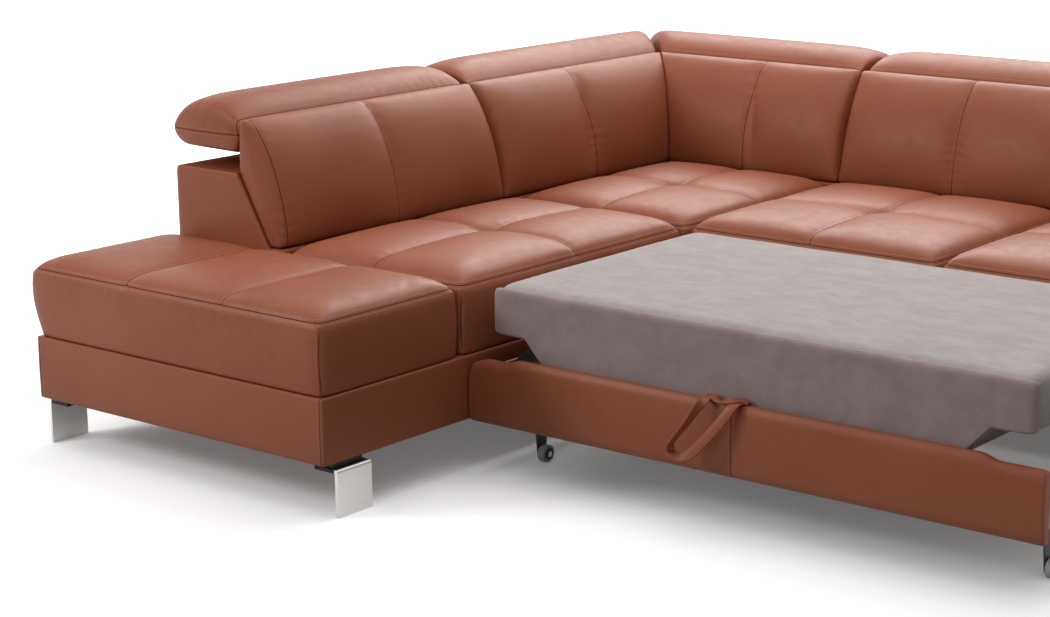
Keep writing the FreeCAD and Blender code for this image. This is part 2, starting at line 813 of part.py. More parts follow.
leg_face = size("leg_proud") - size("leg_plate")
leg_sites = [
    (leg_face, 1, size("leg_start")),
    (wing_low - leg_face, -1, size("leg_start")),
    (arm_high_x + leg_face, 1, size("seat_front") + size("leg_start")),
]
legs = []
spacers = []
for face, direction, near in leg_sites:
    legs.append(plate_leg(face, direction, near))
    spacer_x = face - direction * (size("leg_flange") - 4)
    other = face - direction * 12
    spacers.append(Part.makeBox(abs(other - spacer_x), size("leg_plate_width") - 16, size("leg_spacer"),
                                FreeCAD.Vector(min(other, spacer_x), near + 8,
                                               size("leg_height") - size("leg_spacer"))))
shaped(Part.makeCompound(legs), "plate_legs")
shaped(Part.makeCompound(spacers), "leg_spacers")

inset = size("foot_inset")
foot_sites = [
    (wing_low + inset, wing_back_far - inset), (-inset, wing_back_far - inset),
    (wing_low + inset, arm_high_y - inset), (-inset, arm_high_y - inset),
    (seat_split, arm_high_y - inset), (arm_low_x + inset, arm_high_y - inset),
    (arm_high_x - inset, arm_high_y - inset), (arm_low_x + inset, size("seat_front") + inset),
]
feet = []
foot_half = size("foot_radius")
for foot_x, foot_y in foot_sites:
    feet.append(Part.makeBox(2 * foot_half, 2 * foot_half, size("leg_height"),
                             FreeCAD.Vector(foot_x - foot_half, foot_y - foot_half, 0)))
shaped(Part.makeCompound(feet), "back_feet")

# Bed drawer: covered front board, two side rails, rear rail, glides and runners
rail_left = size("module_gap") + size("gable") + size("runner_deep") + size("fit_gap")
rail_right = size("main_width") - size("gable") - size("runner_deep") - size("fit_gap") - size("rail_thick")
left_rail = "module_gap + gable + runner_deep + fit_gap"
right_rail = "main_width - gable - runner_deep - fit_gap - rail_thick"
front_outline = [
    ("module_gap", "drawer_low"), ("main_width", "drawer_low"),
    ("main_width", "drawer_end_top - 6"), ("main_width - 6", "drawer_end_top"),
    ("main_width - drawer_step", "drawer_end_top"), ("main_width - drawer_step - drawer_slope", "drawer_top"),
    ("module_gap + drawer_step + drawer_slope", "drawer_top"), ("module_gap + drawer_step", "drawer_end_top"),
    ("module_gap + 40", "drawer_end_top - 6"), ("module_gap + 6", "drawer_end_top - 19"),
    ("module_gap", "drawer_end_top - 28"),
]
front_cover = padded_outline("XZ_Plane", front_outline, "-drawer_front - drawer_thick", "drawer_thick")


def drawer_board():
    """The board that fills the drawer front's cover."""
    return block(("module_gap + leather + 6", "drawer_front + leather", "drawer_low + leather"),
                 ("main_width - module_gap - 2 * leather - 12", "drawer_thick - 2 - leather",
                  "drawer_end_top - drawer_low - leather - 30"))


group("drawer_front_cover", [cut(front_cover, drawer_board())])
group("drawer_front_board", [drawer_board()])
rail_start = "drawer_front + drawer_thick"
rail_height = "rail_top - rail_low"
rail_length = f"rail_end - ({rail_start})"
group("drawer_rails", [
    block((left_rail, rail_start, "rail_low"), ("rail_thick", rail_length, rail_height)),
    block((right_rail, rail_start, "rail_low"), ("rail_thick", rail_length, rail_height)),
    block((f"{left_rail} + rail_thick", "rail_end - board", "rail_low"),
          (f"{right_rail} - ({left_rail}) - rail_thick", "board", "70")),
])


def runner(side):
    """A U channel on the gable, open towards the drawer rail."""
    height = size("runner_height")
    wall = size("runner_wall")
    deep = size("runner_deep")
    low = size("runner_low")
    near = size("seat_front") + size("board")
    length = size("overall_depth") - size("leather") - size("board") - near
    if side == "left":
        web_x = size("module_gap") + size("gable")
        flange_x = web_x + wall
    else:
        web_x = size("main_width") - size("gable") - wall
        flange_x = web_x + wall - deep
    web = Part.makeBox(wall, length, height, FreeCAD.Vector(web_x, near, low))
    flanges = [Part.makeBox(deep - wall, length, wall, FreeCAD.Vector(flange_x, near, level))
               for level in (low, low + height - wall)]
    return [web] + flanges


shaped(Part.makeCompound(runner("left") + runner("right")), "drawer_runners")
glide_height = size("runner_height") - 2 * size("runner_wall") - 2 * size("fit_gap")
glide_low = size("runner_low") + size("runner_wall") + size("fit_gap")
glide_reach = size("runner_deep") - size("runner_wall")
glides = []
for glide_x in (rail_left - glide_reach, rail_right + size("rail_thick")):
    glides.append(Part.makeBox(glide_reach, 60, glide_height,
                               FreeCAD.Vector(glide_x, size("rail_end") - 75, glide_low)))
shaped(Part.makeCompound(glides), "drawer_glides")

# Castors: a carrier arm from each rail, one cheek, a fixed axle and a wheel beside the cheek
carriers = []
cheeks = []
axles = []
axle_height = size("wheel_radius")
wheel_centre_y = size("castor_centre")
carrier_low = size("carrier_low")
for side in ("left", "right"):
    wheel_x = size("module_gap") + size("wheel_inset") if side == "left" else size("main_width") - 53
    wheel_x -= size("wheel_width") / 2
    cheek_x = wheel_x - 1 - size("castor_cheek")
    inner_end = wheel_x + size("wheel_width") + 6 if side == "left" else cheek_x - 10
    rail_face = rail_left + size("rail_thick") if side == "left" else rail_right
    near = wheel_centre_y - size("carrier_wide") / 2
    carriers.append(Part.makeBox(abs(inner_end - rail_face), size("carrier_wide"), size("carrier_high"),
                                 FreeCAD.Vector(min(rail_face, inner_end), near, carrier_low)))
    outline = [
        (wheel_centre_y - 14, axle_height), (wheel_centre_y + 14, axle_height),
        (near + 40, axle_height + 40), (near + 40, carrier_low - 1), (near + 4, carrier_low - 1),
        (near + 4, axle_height + 40),
    ]
    points = [FreeCAD.Vector(cheek_x, place, height) for place, height in outline]
    web = Part.Face(Part.makePolygon(points + points[:1])).extrude(FreeCAD.Vector(size("castor_cheek"), 0, 0))
    round_end = Part.makeCylinder(14, size("castor_cheek"), FreeCAD.Vector(cheek_x, wheel_centre_y, axle_height),
                                  FreeCAD.Vector(1, 0, 0))
    flange = Part.makeBox(30, size("carrier_wide") - 4, size("castor_cheek"),
                          FreeCAD.Vector(cheek_x, near + 2, carrier_low - size("castor_cheek")))
    bracket = web.fuse(round_end).fuse(flange)
    axle = Part.makeCylinder(size("axle_radius"), size("castor_cheek") + size("wheel_width") + 5,
                             FreeCAD.Vector(cheek_x, wheel_centre_y, axle_height), FreeCAD.Vector(1, 0, 0))
    cap = hex_head(FreeCAD.Vector(wheel_x + size("wheel_width") + 1, wheel_centre_y, axle_height),
                   FreeCAD.Vector(1, 0, 0), size("axle_radius") + 3, 3)
    cheeks.append(bracket.cut(axle).removeSplitter())
    axles.append(axle.fuse(cap).removeSplitter())

    half = size("wheel_width")
    tread = size("wheel_radius")
    bore = size("axle_radius") + size("running_gap")
    profile = [
        (0, bore), (0, tread - 1.5), (1.5, tread), (half - 1.5, tread), (half, tread - 1.5), (half, bore),
    ]
    points = [FreeCAD.Vector(wheel_x + across, wheel_centre_y, axle_height + radius) for across, radius in profile]
    face = Part.Face(Part.makePolygon(points + points[:1]))
    wheel = face.revolve(FreeCAD.Vector(wheel_x, wheel_centre_y, axle_height), FreeCAD.Vector(1, 0, 0), 360)
    shaped(wheel, f"castor_wheel_{side}")
shaped(Part.makeCompound(carriers), "castor_carriers")
shaped(Part.makeCompound(cheeks), "castor_brackets")
shaped(Part.makeCompound(axles), "castor_axles")

# Lift: two pairs of equal arms between the drawer's rails and the mattress deck
lift_angle = math.asin(size("lift_drop") / 2 / size("lift_arm_length"))
arm_reach = size("lift_arm_length") * math.cos(lift_angle)
arm_rise = size("lift_arm_length") * math.sin(lift_angle)
plate = size("lift_plate")
side_gap = size("lift_side_gap")
pin = size("lift_pin_radius")
x_axis = FreeCAD.Vector(1, 0, 0)


def lift_arm(arm_x, near):
    """One flat arm with round bored ends, raised to the lift's angle."""
    width = size("lift_plate_width")
    bore = pin + size("running_gap")
    result = Part.makeBox(plate, size("lift_arm_length"), width, FreeCAD.Vector(0, 0, -width / 2))
    for place in (0, size("lift_arm_length")):
        result = result.fuse(Part.makeCylinder(width / 2, plate, FreeCAD.Vector(0, place, 0), x_axis))
    for place in (0, size("lift_arm_length")):
        result = result.cut(Part.makeCylinder(bore, plate, FreeCAD.Vector(0, place, 0), x_axis))
    result = result.removeSplitter()
    result.rotate(FreeCAD.Vector(), x_axis, math.degrees(lift_angle))
    result.translate(FreeCAD.Vector(arm_x, near, size("lift_pivot_height")))
    return result


drawer_pins = []
deck_pins = []
deck_brackets = []
for pair, pairs_before in (("front", 0), ("rear", 1)):
    near = size("lift_front_pivot") + pairs_before * size("lift_pivot_spacing")
    far = near + arm_reach
    low_height = size("lift_pivot_height")
    top = low_height + arm_rise
    deck_low = size("mattress_low") - size("deck_thick")
    arms = []
    for side in ("left", "right"):
        direction = 1 if side == "left" else -1
        rail_face = rail_left + size("rail_thick") if side == "left" else rail_right
        arm_face = rail_face + direction * side_gap
        arms.append(lift_arm(min(arm_face, arm_face + direction * plate), near))
        outward = FreeCAD.Vector(direction, 0, 0)
        start = FreeCAD.Vector(rail_face, near, low_height)
        bolt = Part.makeCylinder(pin, side_gap + plate + 1, start, outward)
        washer = hex_head(start, outward, pin + 5, side_gap - 0.3)
        head = hex_head(start + outward * (side_gap + plate + 0.3), outward, pin + 4, 2.5)
        drawer_pins.append(bolt.fuse(washer).fuse(head).removeSplitter())
        bracket_x = arm_face + direction * (plate + 1)
        outline = [(far - 12, top - 4), (far - 6, top - 12), (far + 6, top - 12), (far + 12, top - 4),
                   (far + 34, deck_low), (far - 34, deck_low)]
        points = [FreeCAD.Vector(bracket_x, place, height) for place, height in outline]
        web = Part.Face(Part.makePolygon(points + points[:1])).extrude(outward * plate)
        foot_end = bracket_x + direction * 48
        foot = Part.makeBox(48, 68, 3, FreeCAD.Vector(min(bracket_x, foot_end), far - 34, deck_low - 3))
        hole = Part.makeCylinder(pin, plate, FreeCAD.Vector(bracket_x, far, top), outward)
        deck_brackets.append(web.fuse(foot).cut(hole).removeSplitter())
        start = FreeCAD.Vector(bracket_x + direction * plate, far, top)
        bolt = Part.makeCylinder(pin, 2 * plate + 1.4, start, outward * -1)
        head = hex_head(start, outward, pin + 4, 3)
        deck_pins.append(bolt.fuse(head).removeSplitter())
    shaped(Part.makeCompound(arms), f"lift_arms_{pair}")
shaped(Part.makeCompound(drawer_pins), "lift_drawer_pins")
shaped(Part.makeCompound(deck_pins), "lift_deck_pins")
shaped(Part.makeCompound(deck_brackets), "lift_deck_brackets")

# Mattress platform: board deck, sloped keel below it and the mattress slab on top
group("mattress_deck", [
    block(("mattress_left + 12", "mattress_front + 15", "mattress_low - deck_thick"),
          ("mattress_right - mattress_left - 24", "mattress_back - mattress_front - 30", "deck_thick")),
])
keel_outline = [
    ("mattress_left + keel_low_inset", "keel_low"), ("mattress_right - keel_low_inset", "keel_low"),
    ("mattress_right - keel_top_inset", "mattress_low - deck_thick - fit_gap"),
    ("mattress_left + keel_top_inset", "mattress_low - deck_thick - fit_gap"),
]
group("mattress_keel", [
    padded_outline("XZ_Plane", keel_outline, "-keel_back", "keel_back - mattress_front"),
])


def mattress_slab():
    """The mattress slab: slightly crowned top and soft upright sides."""
    wires = []
    low = size("mattress_low") + size("fit_gap")
    top = size("mattress_top")
    for place in stations(size("mattress_left"), size("mattress_right"), []):
        distance = min(place - size("mattress_left"), size("mattress_right") - place)
        fullness = ease(distance, size("edge_reach"))
        inset = 8 * (1 - ease(distance, 14))
        near = size("mattress_front") + inset + 2
        far = size("mattress_back") - inset - 2
        corner = 10
        outline = [
            (near, low), (far, low), (far, top - corner), (far - corner, top - inset * 0.7),
            (near + corner, top - inset * 0.7), (near, top - corner),
        ]
        placed = [FreeCAD.Vector(place, across, height) for across, height in outline]
        wires.append(outline_wire(placed, [0, 2, 3, 1 + size("mattress_crown") * fullness, 3, 2]))
    return Part.makeLoft(wires, True, True)


shaped(mattress_slab(), "mattress")


# Pull strap: a leather loop fixed behind the drawer front and hung over its top edge

def strap_run(path, width, thickness, across):
    """A flat strap of straight runs: each point carries the strap's middle line."""
    pieces = []
    for start, end in zip(path, path[1:]):
        along = (end - start)
        length = along.Length
        along.normalize()
        side = FreeCAD.Vector(across)
        side = side - along * side.dot(along)
        side.normalize()
        normal = along.cross(side)
        corner = start - side * (width / 2) - normal * (thickness / 2)
        points = [corner, corner + side * width, corner + side * width + normal * thickness,
                  corner + normal * thickness]
        face = Part.Face(Part.makePolygon(points + points[:1]))
        pieces.append(face.extrude(along * length))
    result = pieces[0]
    for piece in pieces[1:]:
        result = result.fuse(piece)
    return result.removeSplitter()


def pull_strap():
    front = size("drawer_front")
    back = front + size("drawer_thick")
    top = size("drawer_top")
    thick = size("strap_thick")
    left_x = 655
    right_x = 745
    over = top + thick / 2 + 0.2
    drop = [
        FreeCAD.Vector(left_x, back + thick / 2 + 0.2, top - 32),
        FreeCAD.Vector(left_x, back + thick / 2 + 0.2, over),
        FreeCAD.Vector(left_x - 4, front - 6, over),
        FreeCAD.Vector(left_x - 52, front - 42, top - 74),
        FreeCAD.Vector(left_x - 60, front - 46, top - 92),
        FreeCAD.Vector(left_x - 52, front - 48, top - 106),
        FreeCAD.Vector(left_x - 36, front - 48, top - 108),
        FreeCAD.Vector(right_x - 30, front - 30, top - 50),
        FreeCAD.Vector(right_x, front - 6, over),
        FreeCAD.Vector(right_x, back + thick / 2 + 0.2, over),
        FreeCAD.Vector(right_x, back + thick / 2 + 0.2, top - 32),
    ]
    return drop


shaped(strap_run(pull_strap(), size("strap_width"), size("strap_thick"), FreeCAD.Vector(1, 0, 0)), "pull_strap")

document.recompute()

failed = [item.Label for item in document.Objects
          if any(flag in ("Invalid", "Error") for flag in item.State)]
for piece in sub_parts:
    if piece.Shape.isNull() or not piece.Shape.isValid() or not piece.Shape.Solids:
        failed.append(piece.Label)
if failed:
    raise RuntimeError("These pieces failed: " + ", ".join(sorted(set(failed))))

for piece in sub_parts:
    piece.Shape.exportStep(f"parts/{piece.Label}.step")
print(len(sub_parts), "nodes,", sum(len(piece.Shape.Solids) for piece in sub_parts), "solids")
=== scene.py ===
import math

import bmesh
import bpy
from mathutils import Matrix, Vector, noise


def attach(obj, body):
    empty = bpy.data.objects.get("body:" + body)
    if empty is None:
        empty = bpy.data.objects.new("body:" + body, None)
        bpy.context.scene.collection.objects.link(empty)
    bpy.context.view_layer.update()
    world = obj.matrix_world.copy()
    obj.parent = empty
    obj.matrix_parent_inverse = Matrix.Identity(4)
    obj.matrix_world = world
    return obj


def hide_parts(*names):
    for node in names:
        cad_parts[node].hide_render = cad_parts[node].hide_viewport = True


# Lengths below are in millimetres from the floor point under the footstool's inner near corner
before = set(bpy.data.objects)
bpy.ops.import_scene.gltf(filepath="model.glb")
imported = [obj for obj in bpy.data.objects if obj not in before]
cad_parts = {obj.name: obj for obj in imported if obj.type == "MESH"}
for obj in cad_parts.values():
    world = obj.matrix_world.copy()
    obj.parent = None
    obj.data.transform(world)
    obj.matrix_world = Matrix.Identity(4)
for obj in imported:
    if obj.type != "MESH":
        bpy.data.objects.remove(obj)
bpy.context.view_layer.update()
scene = bpy.context.scene


def at(x, y, z):
    """A point in the row frame, in metres, from millimetres in the sofa's corner frame."""
    return Vector(((x - 360) / 1000, (y - 1204.5) / 1000, z / 1000))


def to_corner(point):
    """The corner frame's millimetres of a point in the row frame."""
    return Vector((point.x * 1000 + 360, point.y * 1000 + 1204.5, point.z * 1000))


X_RUN = (1, 0, 0)
Y_RUN = (0, 1, 0)
Z_RUN = (0, 0, 1)

# Sizes shared with the CAD part
WING_DEPTH = 931
OVERALL_DEPTH = 2370
MAIN_WIDTH = 1456
SEAT_FRONT = 1305
FOOTSTOOL = 448
CREASE = 354
SEAT_BASE = 274
SEAT_SEAM = 426
HINGE = (216, 733)
MODULE_GAP = 4
SEAT_SPLIT = MAIN_WIDTH / 2
WING_CREASE = -WING_DEPTH + CREASE
MAIN_CREASE = OVERALL_DEPTH - CREASE


# Materials

def new_material(name):
    material = bpy.data.materials.new(name)
    material.use_nodes = True
    tree = material.node_tree
    shader = next(n for n in tree.nodes if n.type == "BSDF_PRINCIPLED")
    return material, tree, shader


def set_inputs(tree, node, values):
    """Sets a node's inputs: numbers and tuples as values, sockets as links, None is left out."""
    for key, value in values.items():
        if isinstance(value, (int, float, tuple)):
            node.inputs[key].default_value = value
        elif value is not None:
            tree.links.new(value, node.inputs[key])


def math_node(tree, operation, first, second=None, third=None):
    node = tree.nodes.new("ShaderNodeMath")
    node.operation = operation
    set_inputs(tree, node, {0: first, 1: second, 2: third})
    return node.outputs[0]


def ramp_between(tree, value, low, high, from_value=0.0, to_value=1.0):
    """A value mapped smoothly from one range to another, held at both ends."""
    node = tree.nodes.new("ShaderNodeMapRange")
    node.interpolation_type = "SMOOTHSTEP"
    set_inputs(tree, node, {"Value": value, "From Min": low, "From Max": high,
                            "To Min": from_value, "To Max": to_value})
    return node.outputs["Result"]


def mix_colour(tree, factor, first, second):
    node = tree.nodes.new("ShaderNodeMix")
    node.data_type = "RGBA"
    set_inputs(tree, node, {"Factor": factor, "A": first, "B": second})
    return node.outputs["Result"]


def object_point(tree):
    return tree.nodes.new("ShaderNodeTexCoord").outputs["Object"]


def noise_value(tree, point, scale, detail=2.0, roughness=0.5, stretch=None):
    if stretch:
        mapping = tree.nodes.new("ShaderNodeMapping")
        set_inputs(tree, mapping, {"Scale": stretch, "Vector": point})
        point = mapping.outputs["Vector"]
    node = tree.nodes.new("ShaderNodeTexNoise")
    set_inputs(tree, node, {"Scale": scale, "Detail": detail, "Roughness": roughness, "Vector": point})
    return node.outputs["Fac"]


def vector_value(tree, operation, value, other=(0, 0, 0)):
    """The result of a vector operation, which is a number for a dot product or a length."""
    node = tree.nodes.new("ShaderNodeVectorMath")
    node.operation = operation
    tree.links.new(value, node.inputs[0])
    node.inputs[1].default_value = other
    return node.outputs["Value" if operation in ("DOT_PRODUCT", "LENGTH") else "Vector"]


def dot_value(tree, value, direction):
    return vector_value(tree, "DOT_PRODUCT", value, direction)


def seen_rays(tree):
    """1 for the rays that see things: straight, in a mirror or through glass."""
    path = tree.nodes.new("ShaderNodeLightPath")
    seen = math_node(tree, "MAXIMUM", path.outputs["Is Camera Ray"], path.outputs["Is Glossy Ray"])
    return math_node(tree, "MAXIMUM", seen, path.outputs["Is Transmission Ray"])


def bump(tree, height, strength, distance, under=None):
    node = tree.nodes.new("ShaderNodeBump")
    set_inputs(tree, node, {"Strength": strength, "Distance": distance, "Height": height, "Normal": under})
    return node.outputs["Normal"]


LEATHER = (0.262, 0.074, 0.034, 1)
LEATHER_LIGHT = (0.295, 0.088, 0.042, 1)
LEATHER_DARK = (0.215, 0.056, 0.024, 1)
STITCH = (0.44, 0.20, 0.12, 1)
GROOVE = (0.045, 0.012, 0.006, 1)


def seam_masks(tree, point, seams):
    """Groove and stitch masks of sewn seams.

    A seam is (normal, offset, along, limits): the plane normal . p = offset in row frame metres,
    the direction the stitches run in (None for no stitches), and limits as (axis or direction,
    low, high) ranges that it stays within. Upright seams leave out faces that lie along their plane.
    """
    line_core, line_edge = 0.0002, 0.0014
    stitch_offset, stitch_pitch = 0.0062, 0.0036
    groove = None
    stitch = None
    facing = tree.nodes.new("ShaderNodeTexCoord").outputs["Normal"]
    split = tree.nodes.new("ShaderNodeSeparateXYZ")
    tree.links.new(point, split.inputs[0])
    for normal, offset, along, limits in seams:
        from_plane = math_node(tree, "SUBTRACT", dot_value(tree, point, normal), offset)
        distance = math_node(tree, "ABSOLUTE", from_plane)
        line = ramp_between(tree, distance, line_core, line_edge, 1.0, 0.0)
        beside = math_node(tree, "ABSOLUTE", math_node(tree, "SUBTRACT", distance, stitch_offset))
        row = ramp_between(tree, beside, 0.0004, 0.0011, 1.0, 0.0)
        phase = math_node(tree, "PINGPONG", dot_value(tree, point, along or (0, 0, 0)), stitch_pitch)
        dash = ramp_between(tree, phase, 0.0006, 0.0013)
        row = math_node(tree, "MULTIPLY", row, dash if along else 0.0)
        gates = []
        if normal[2] == 0:
            turned = math_node(tree, "ABSOLUTE", dot_value(tree, facing, normal))
            gates.append(ramp_between(tree, turned, 0.66, 0.84, 1.0, 0.0))
        for axis, low, high in limits:
            place = split.outputs[axis] if isinstance(axis, str) else dot_value(tree, point, axis)
            gates.append(math_node(tree, "COMPARE", place, (low + high) / 2, (high - low) / 2))
        for gate in gates:
            line = math_node(tree, "MULTIPLY", line, gate)
            row = math_node(tree, "MULTIPLY", row, gate)
        groove = line if groove is None else math_node(tree, "MAXIMUM", groove, line)
        stitch = row if stitch is None else math_node(tree, "MAXIMUM", stitch, row)
    return groove, stitch


def leather(name, seams=(), dull_top=False):
    """Smooth terracotta leather: fine grain, faint tone changes, and grooves with stitches at seams.

    dull_top leaves the upward faces without gloss, for the shaded ledge under the headrests.
    """
    gloss = 0.22
    material, tree, shader = new_material(name)
    point = object_point(tree)
    tone = noise_value(tree, point, 3.2, 3.0, 0.55)
    mottled = noise_value(tree, point, 34.0, 4.0, 0.6)
    grain_node = tree.nodes.new("ShaderNodeTexVoronoi")
    grain_node.feature = "SMOOTH_F1"
    grain_node.inputs["Scale"].default_value = 420.0
    tree.links.new(point, grain_node.inputs["Vector"])
    grain = grain_node.outputs["Distance"]
    colour = mix_colour(tree, ramp_between(tree, tone, 0.32, 0.68), LEATHER_DARK, LEATHER_LIGHT)
    colour = mix_colour(tree, ramp_between(tree, mottled, 0.25, 0.75, 0.75, 0.35), colour, LEATHER)
    fine = noise_value(tree, point, 900.0, 2.0, 0.6)
    creases = noise_value(tree, point, 26.0, 3.0, 0.62)
    normal = bump(tree, grain, 0.10, 0.0006)
    normal = bump(tree, fine, 0.08, 0.0003, normal)
    normal = bump(tree, creases, 0.12, 0.003, normal)
    rough = ramp_between(tree, mottled, 0.2, 0.8, 0.38, 0.50)
    shine = gloss
    if seams:
        groove, stitch = seam_masks(tree, point, seams)
        colour = mix_colour(tree, math_node(tree, "MULTIPLY", groove, 0.9), colour, GROOVE)
        colour = mix_colour(tree, math_node(tree, "MULTIPLY", stitch, 0.6), colour, STITCH)
        height = math_node(tree, "SUBTRACT", math_node(tree, "MULTIPLY", stitch, 0.6), groove)
        normal = bump(tree, height, 0.8, 0.0012, normal)
        shine = math_node(tree, "MULTIPLY", math_node(tree, "SUBTRACT", 1.0, groove), gloss)
    if dull_top:
        facing = tree.nodes.new("ShaderNodeTexCoord").outputs["Normal"]
        shine = ramp_between(tree, dot_value(tree, facing, Z_RUN), 0.5, 0.9, gloss, 0.0)
    set_inputs(tree, shader, {"Base Color": colour, "Roughness": rough, "Normal": normal,
                              "Specular IOR Level": shine})
    return material


SUEDE_TONES = ((0.318, 0.280, 0.272), (0.372, 0.334, 0.324), (0.47, 0.43, 0.42))


def suede(name, tint=(0.93, 0.93, 0.93)):
    """Taupe brushed suede: soft mottling where the nap lies in different directions."""
    material, tree, shader = new_material(name)
    point = object_point(tree)
    clouds = noise_value(tree, point, 13.0, 4.0, 0.62, (1.0, 1.5, 1.0))
    strokes = noise_value(tree, point, 30.0, 3.0, 0.6, (1.0, 2.2, 1.0))
    nap = math_node(tree, "MULTIPLY_ADD", clouds, 0.65, math_node(tree, "MULTIPLY", strokes, 0.35))
    dark, light, pale = (tuple(c * t for c, t in zip(colour, tint)) + (1,) for colour in SUEDE_TONES)
    colour = mix_colour(tree, ramp_between(tree, nap, 0.36, 0.64), dark, light)
    flecks = ramp_between(tree, noise_value(tree, point, 85.0, 2.0, 0.5, (1.0, 2.6, 1.0)), 0.66, 0.78)
    colour = mix_colour(tree, math_node(tree, "MULTIPLY", flecks, 0.45), colour, pale)
    fibres = noise_value(tree, point, 1400.0, 2.0, 0.7)
    normal = bump(tree, fibres, 0.25, 0.0005)
    normal = bump(tree, clouds, 0.2, 0.004, normal)
    set_inputs(tree, shader, {
        "Base Color": colour, "Normal": normal, "Roughness": 0.92, "Specular IOR Level": 0.2,
        "Sheen Weight": 0.15, "Sheen Roughness": 0.5, "Sheen Tint": (0.75, 0.7, 0.67, 1)})
    return material


def metal(name, colour, roughness, brushed=None):
    """Steel; brushed gives the stretch of the brush marks along X, Y and Z."""
    material, tree, shader = new_material(name)
    point = object_point(tree)
    normal = None
    if brushed:
        marks = noise_value(tree, point, 60.0, 3.0, 0.6, brushed)
        smooth, rough = roughness * 0.8, roughness * 1.25
        normal = bump(tree, marks, 0.12, 0.0004)
    else:
        marks = noise_value(tree, point, 20.0, 2.0)
        smooth, rough = roughness * 0.9, roughness * 1.1
    uneven = ramp_between(tree, marks, 0.3, 0.7, smooth, rough)
    set_inputs(tree, shader, {"Base Color": colour, "Metallic": 1.0, "Roughness": uneven, "Normal": normal})
    return material


def plain(name, colour, roughness):
    """Powder coat, plastic or nylon, with a faint speckle."""
    material, tree, shader = new_material(name)
    speckle = noise_value(tree, object_point(tree), 300.0, 2.0)
    darker = tuple(c * 0.82 for c in colour[:3]) + (1,)
    set_inputs(tree, shader, {"Base Color": mix_colour(tree, speckle, darker, colour),
                              "Normal": bump(tree, speckle, 0.05, 0.0004), "Roughness": roughness})
    return material


def timber(name):
    """Raw board with long faint grain."""
    material, tree, shader = new_material(name)
    rings = noise_value(tree, object_point(tree), 12.0, 4.0, 0.6, (0.6, 0.6, 7.0))
    dark, pale = (0.36, 0.22, 0.11, 1), (0.56, 0.38, 0.21, 1)
    colour = mix_colour(tree, ramp_between(tree, rings, 0.3, 0.7), dark, pale)
    normal = bump(tree, rings, 0.15, 0.0006)
    set_inputs(tree, shader, {"Base Color": colour, "Normal": normal, "Roughness": 0.6})
    return material


def leg_steel_with_painted_shade():
    """Brushed plate legs whose mounting flanges, under the plinths and the arm, are coloured near-black as
    painted shade.
    """
    flange_low = 0.0975
    plate_edge = 0.9
    material, tree, shader = new_material("leg_plate_steel")
    point = object_point(tree)
    marks = noise_value(tree, point, 60.0, 3.0, 0.6, (1.0, 40.0, 1.0))
    split = tree.nodes.new("ShaderNodeSeparateXYZ")
    tree.links.new(point, split.inputs[0])

    def within(low, high):
        middle = at((low + high) / 2, 0, 0).x
        return math_node(tree, "COMPARE", split.outputs["X"], middle, (high - low) / 2000)

    under_wing = within(-WING_DEPTH - plate_edge, plate_edge)
    under_arm = within(500 + plate_edge, MAIN_WIDTH + 224 + plate_edge)
    # Painted shade: above flange_low, under the wing and the arm, the flanges get near-black in place of
    # steel.
    flange_shade = math_node(tree, "MULTIPLY", math_node(tree, "GREATER_THAN", split.outputs["Z"], flange_low),
                       math_node(tree, "MAXIMUM", under_wing, under_arm))
    colour = mix_colour(tree, flange_shade, (0.66, 0.655, 0.645, 1), (0.02, 0.02, 0.02, 1))
    set_inputs(tree, shader, {"Base Color": colour, "Metallic": 1.0,
                              "Roughness": ramp_between(tree, marks, 0.3, 0.7, 0.34, 0.46),
                              "Normal": bump(tree, marks, 0.15, 0.0004)})
    return material


def castor_finish(thing):
    """A castor wheel: grey tyre round a black hub, told apart by the distance from its axle."""
    tyre_start, tyre_full = 0.66, 0.72
    material, tree, shader = new_material(f"{thing.name}_tyre")
    corners = [Vector(c) for c in thing.bound_box]
    centre = sum(corners, Vector()) / 8
    radius = (max(c.z for c in corners) - min(c.z for c in corners)) / 2
    point = object_point(tree)
    from_axle = vector_value(tree, "MULTIPLY", vector_value(tree, "SUBTRACT", point, centre), (0, 1, 1))
    away = vector_value(tree, "LENGTH", from_axle)
    tyre = ramp_between(tree, away, radius * tyre_start, radius * tyre_full)
    speckle = noise_value(tree, point, 300.0)
    pale = mix_colour(tree, speckle, (0.50, 0.50, 0.49, 1), (0.60, 0.60, 0.59, 1))
    colour = mix_colour(tree, tyre, (0.012, 0.012, 0.013, 1), pale)
    set_inputs(tree, shader, {"Base Color": colour, "Roughness": 0.5})
    return material


MATERIALS = {
    "leather": leather("leather_plain"),
    "mattress_fabric": suede("suede_plain"),
    "timber": timber("timber_board"),
    "brushed_steel": metal("leg_steel", (0.72, 0.71, 0.69, 1), 0.26, (1.0, 1.0, 60.0)),
    "bright_steel": metal("bright_steel", (0.68, 0.68, 0.67, 1), 0.24),
    "black_steel": plain("black_steel", (0.018, 0.018, 0.019, 1), 0.42),
    "black_plastic": plain("black_plastic", (0.015, 0.015, 0.016, 1), 0.5),
    "pale_nylon": plain("pale_nylon", (0.62, 0.60, 0.54, 1), 0.5),
}


# Meshes

def mesh_object(name, points, faces, material):
    """A smooth-shaded object made of points and faces."""
    mesh = bpy.data.meshes.new(name)
    mesh.from_pydata([tuple(p) for p in points], [], faces, shade_flat=False)
    mesh.update()
    mesh.materials.append(material)
    piece = bpy.data.objects.new(name, mesh)
    scene.collection.objects.link(piece)
    return piece


def fix_normals(piece):
    """Turns every face outwards."""
    work = bmesh.new()
    work.from_mesh(piece.data)
    bmesh.ops.recalc_face_normals(work, faces=work.faces)
    work.to_mesh(piece.data)
    work.free()


def lerp(a, b, share):
    return a + (b - a) * share


def smoothstep(value):
    value = min(1.0, max(0.0, value))
    return value * value * (3 - 2 * value)


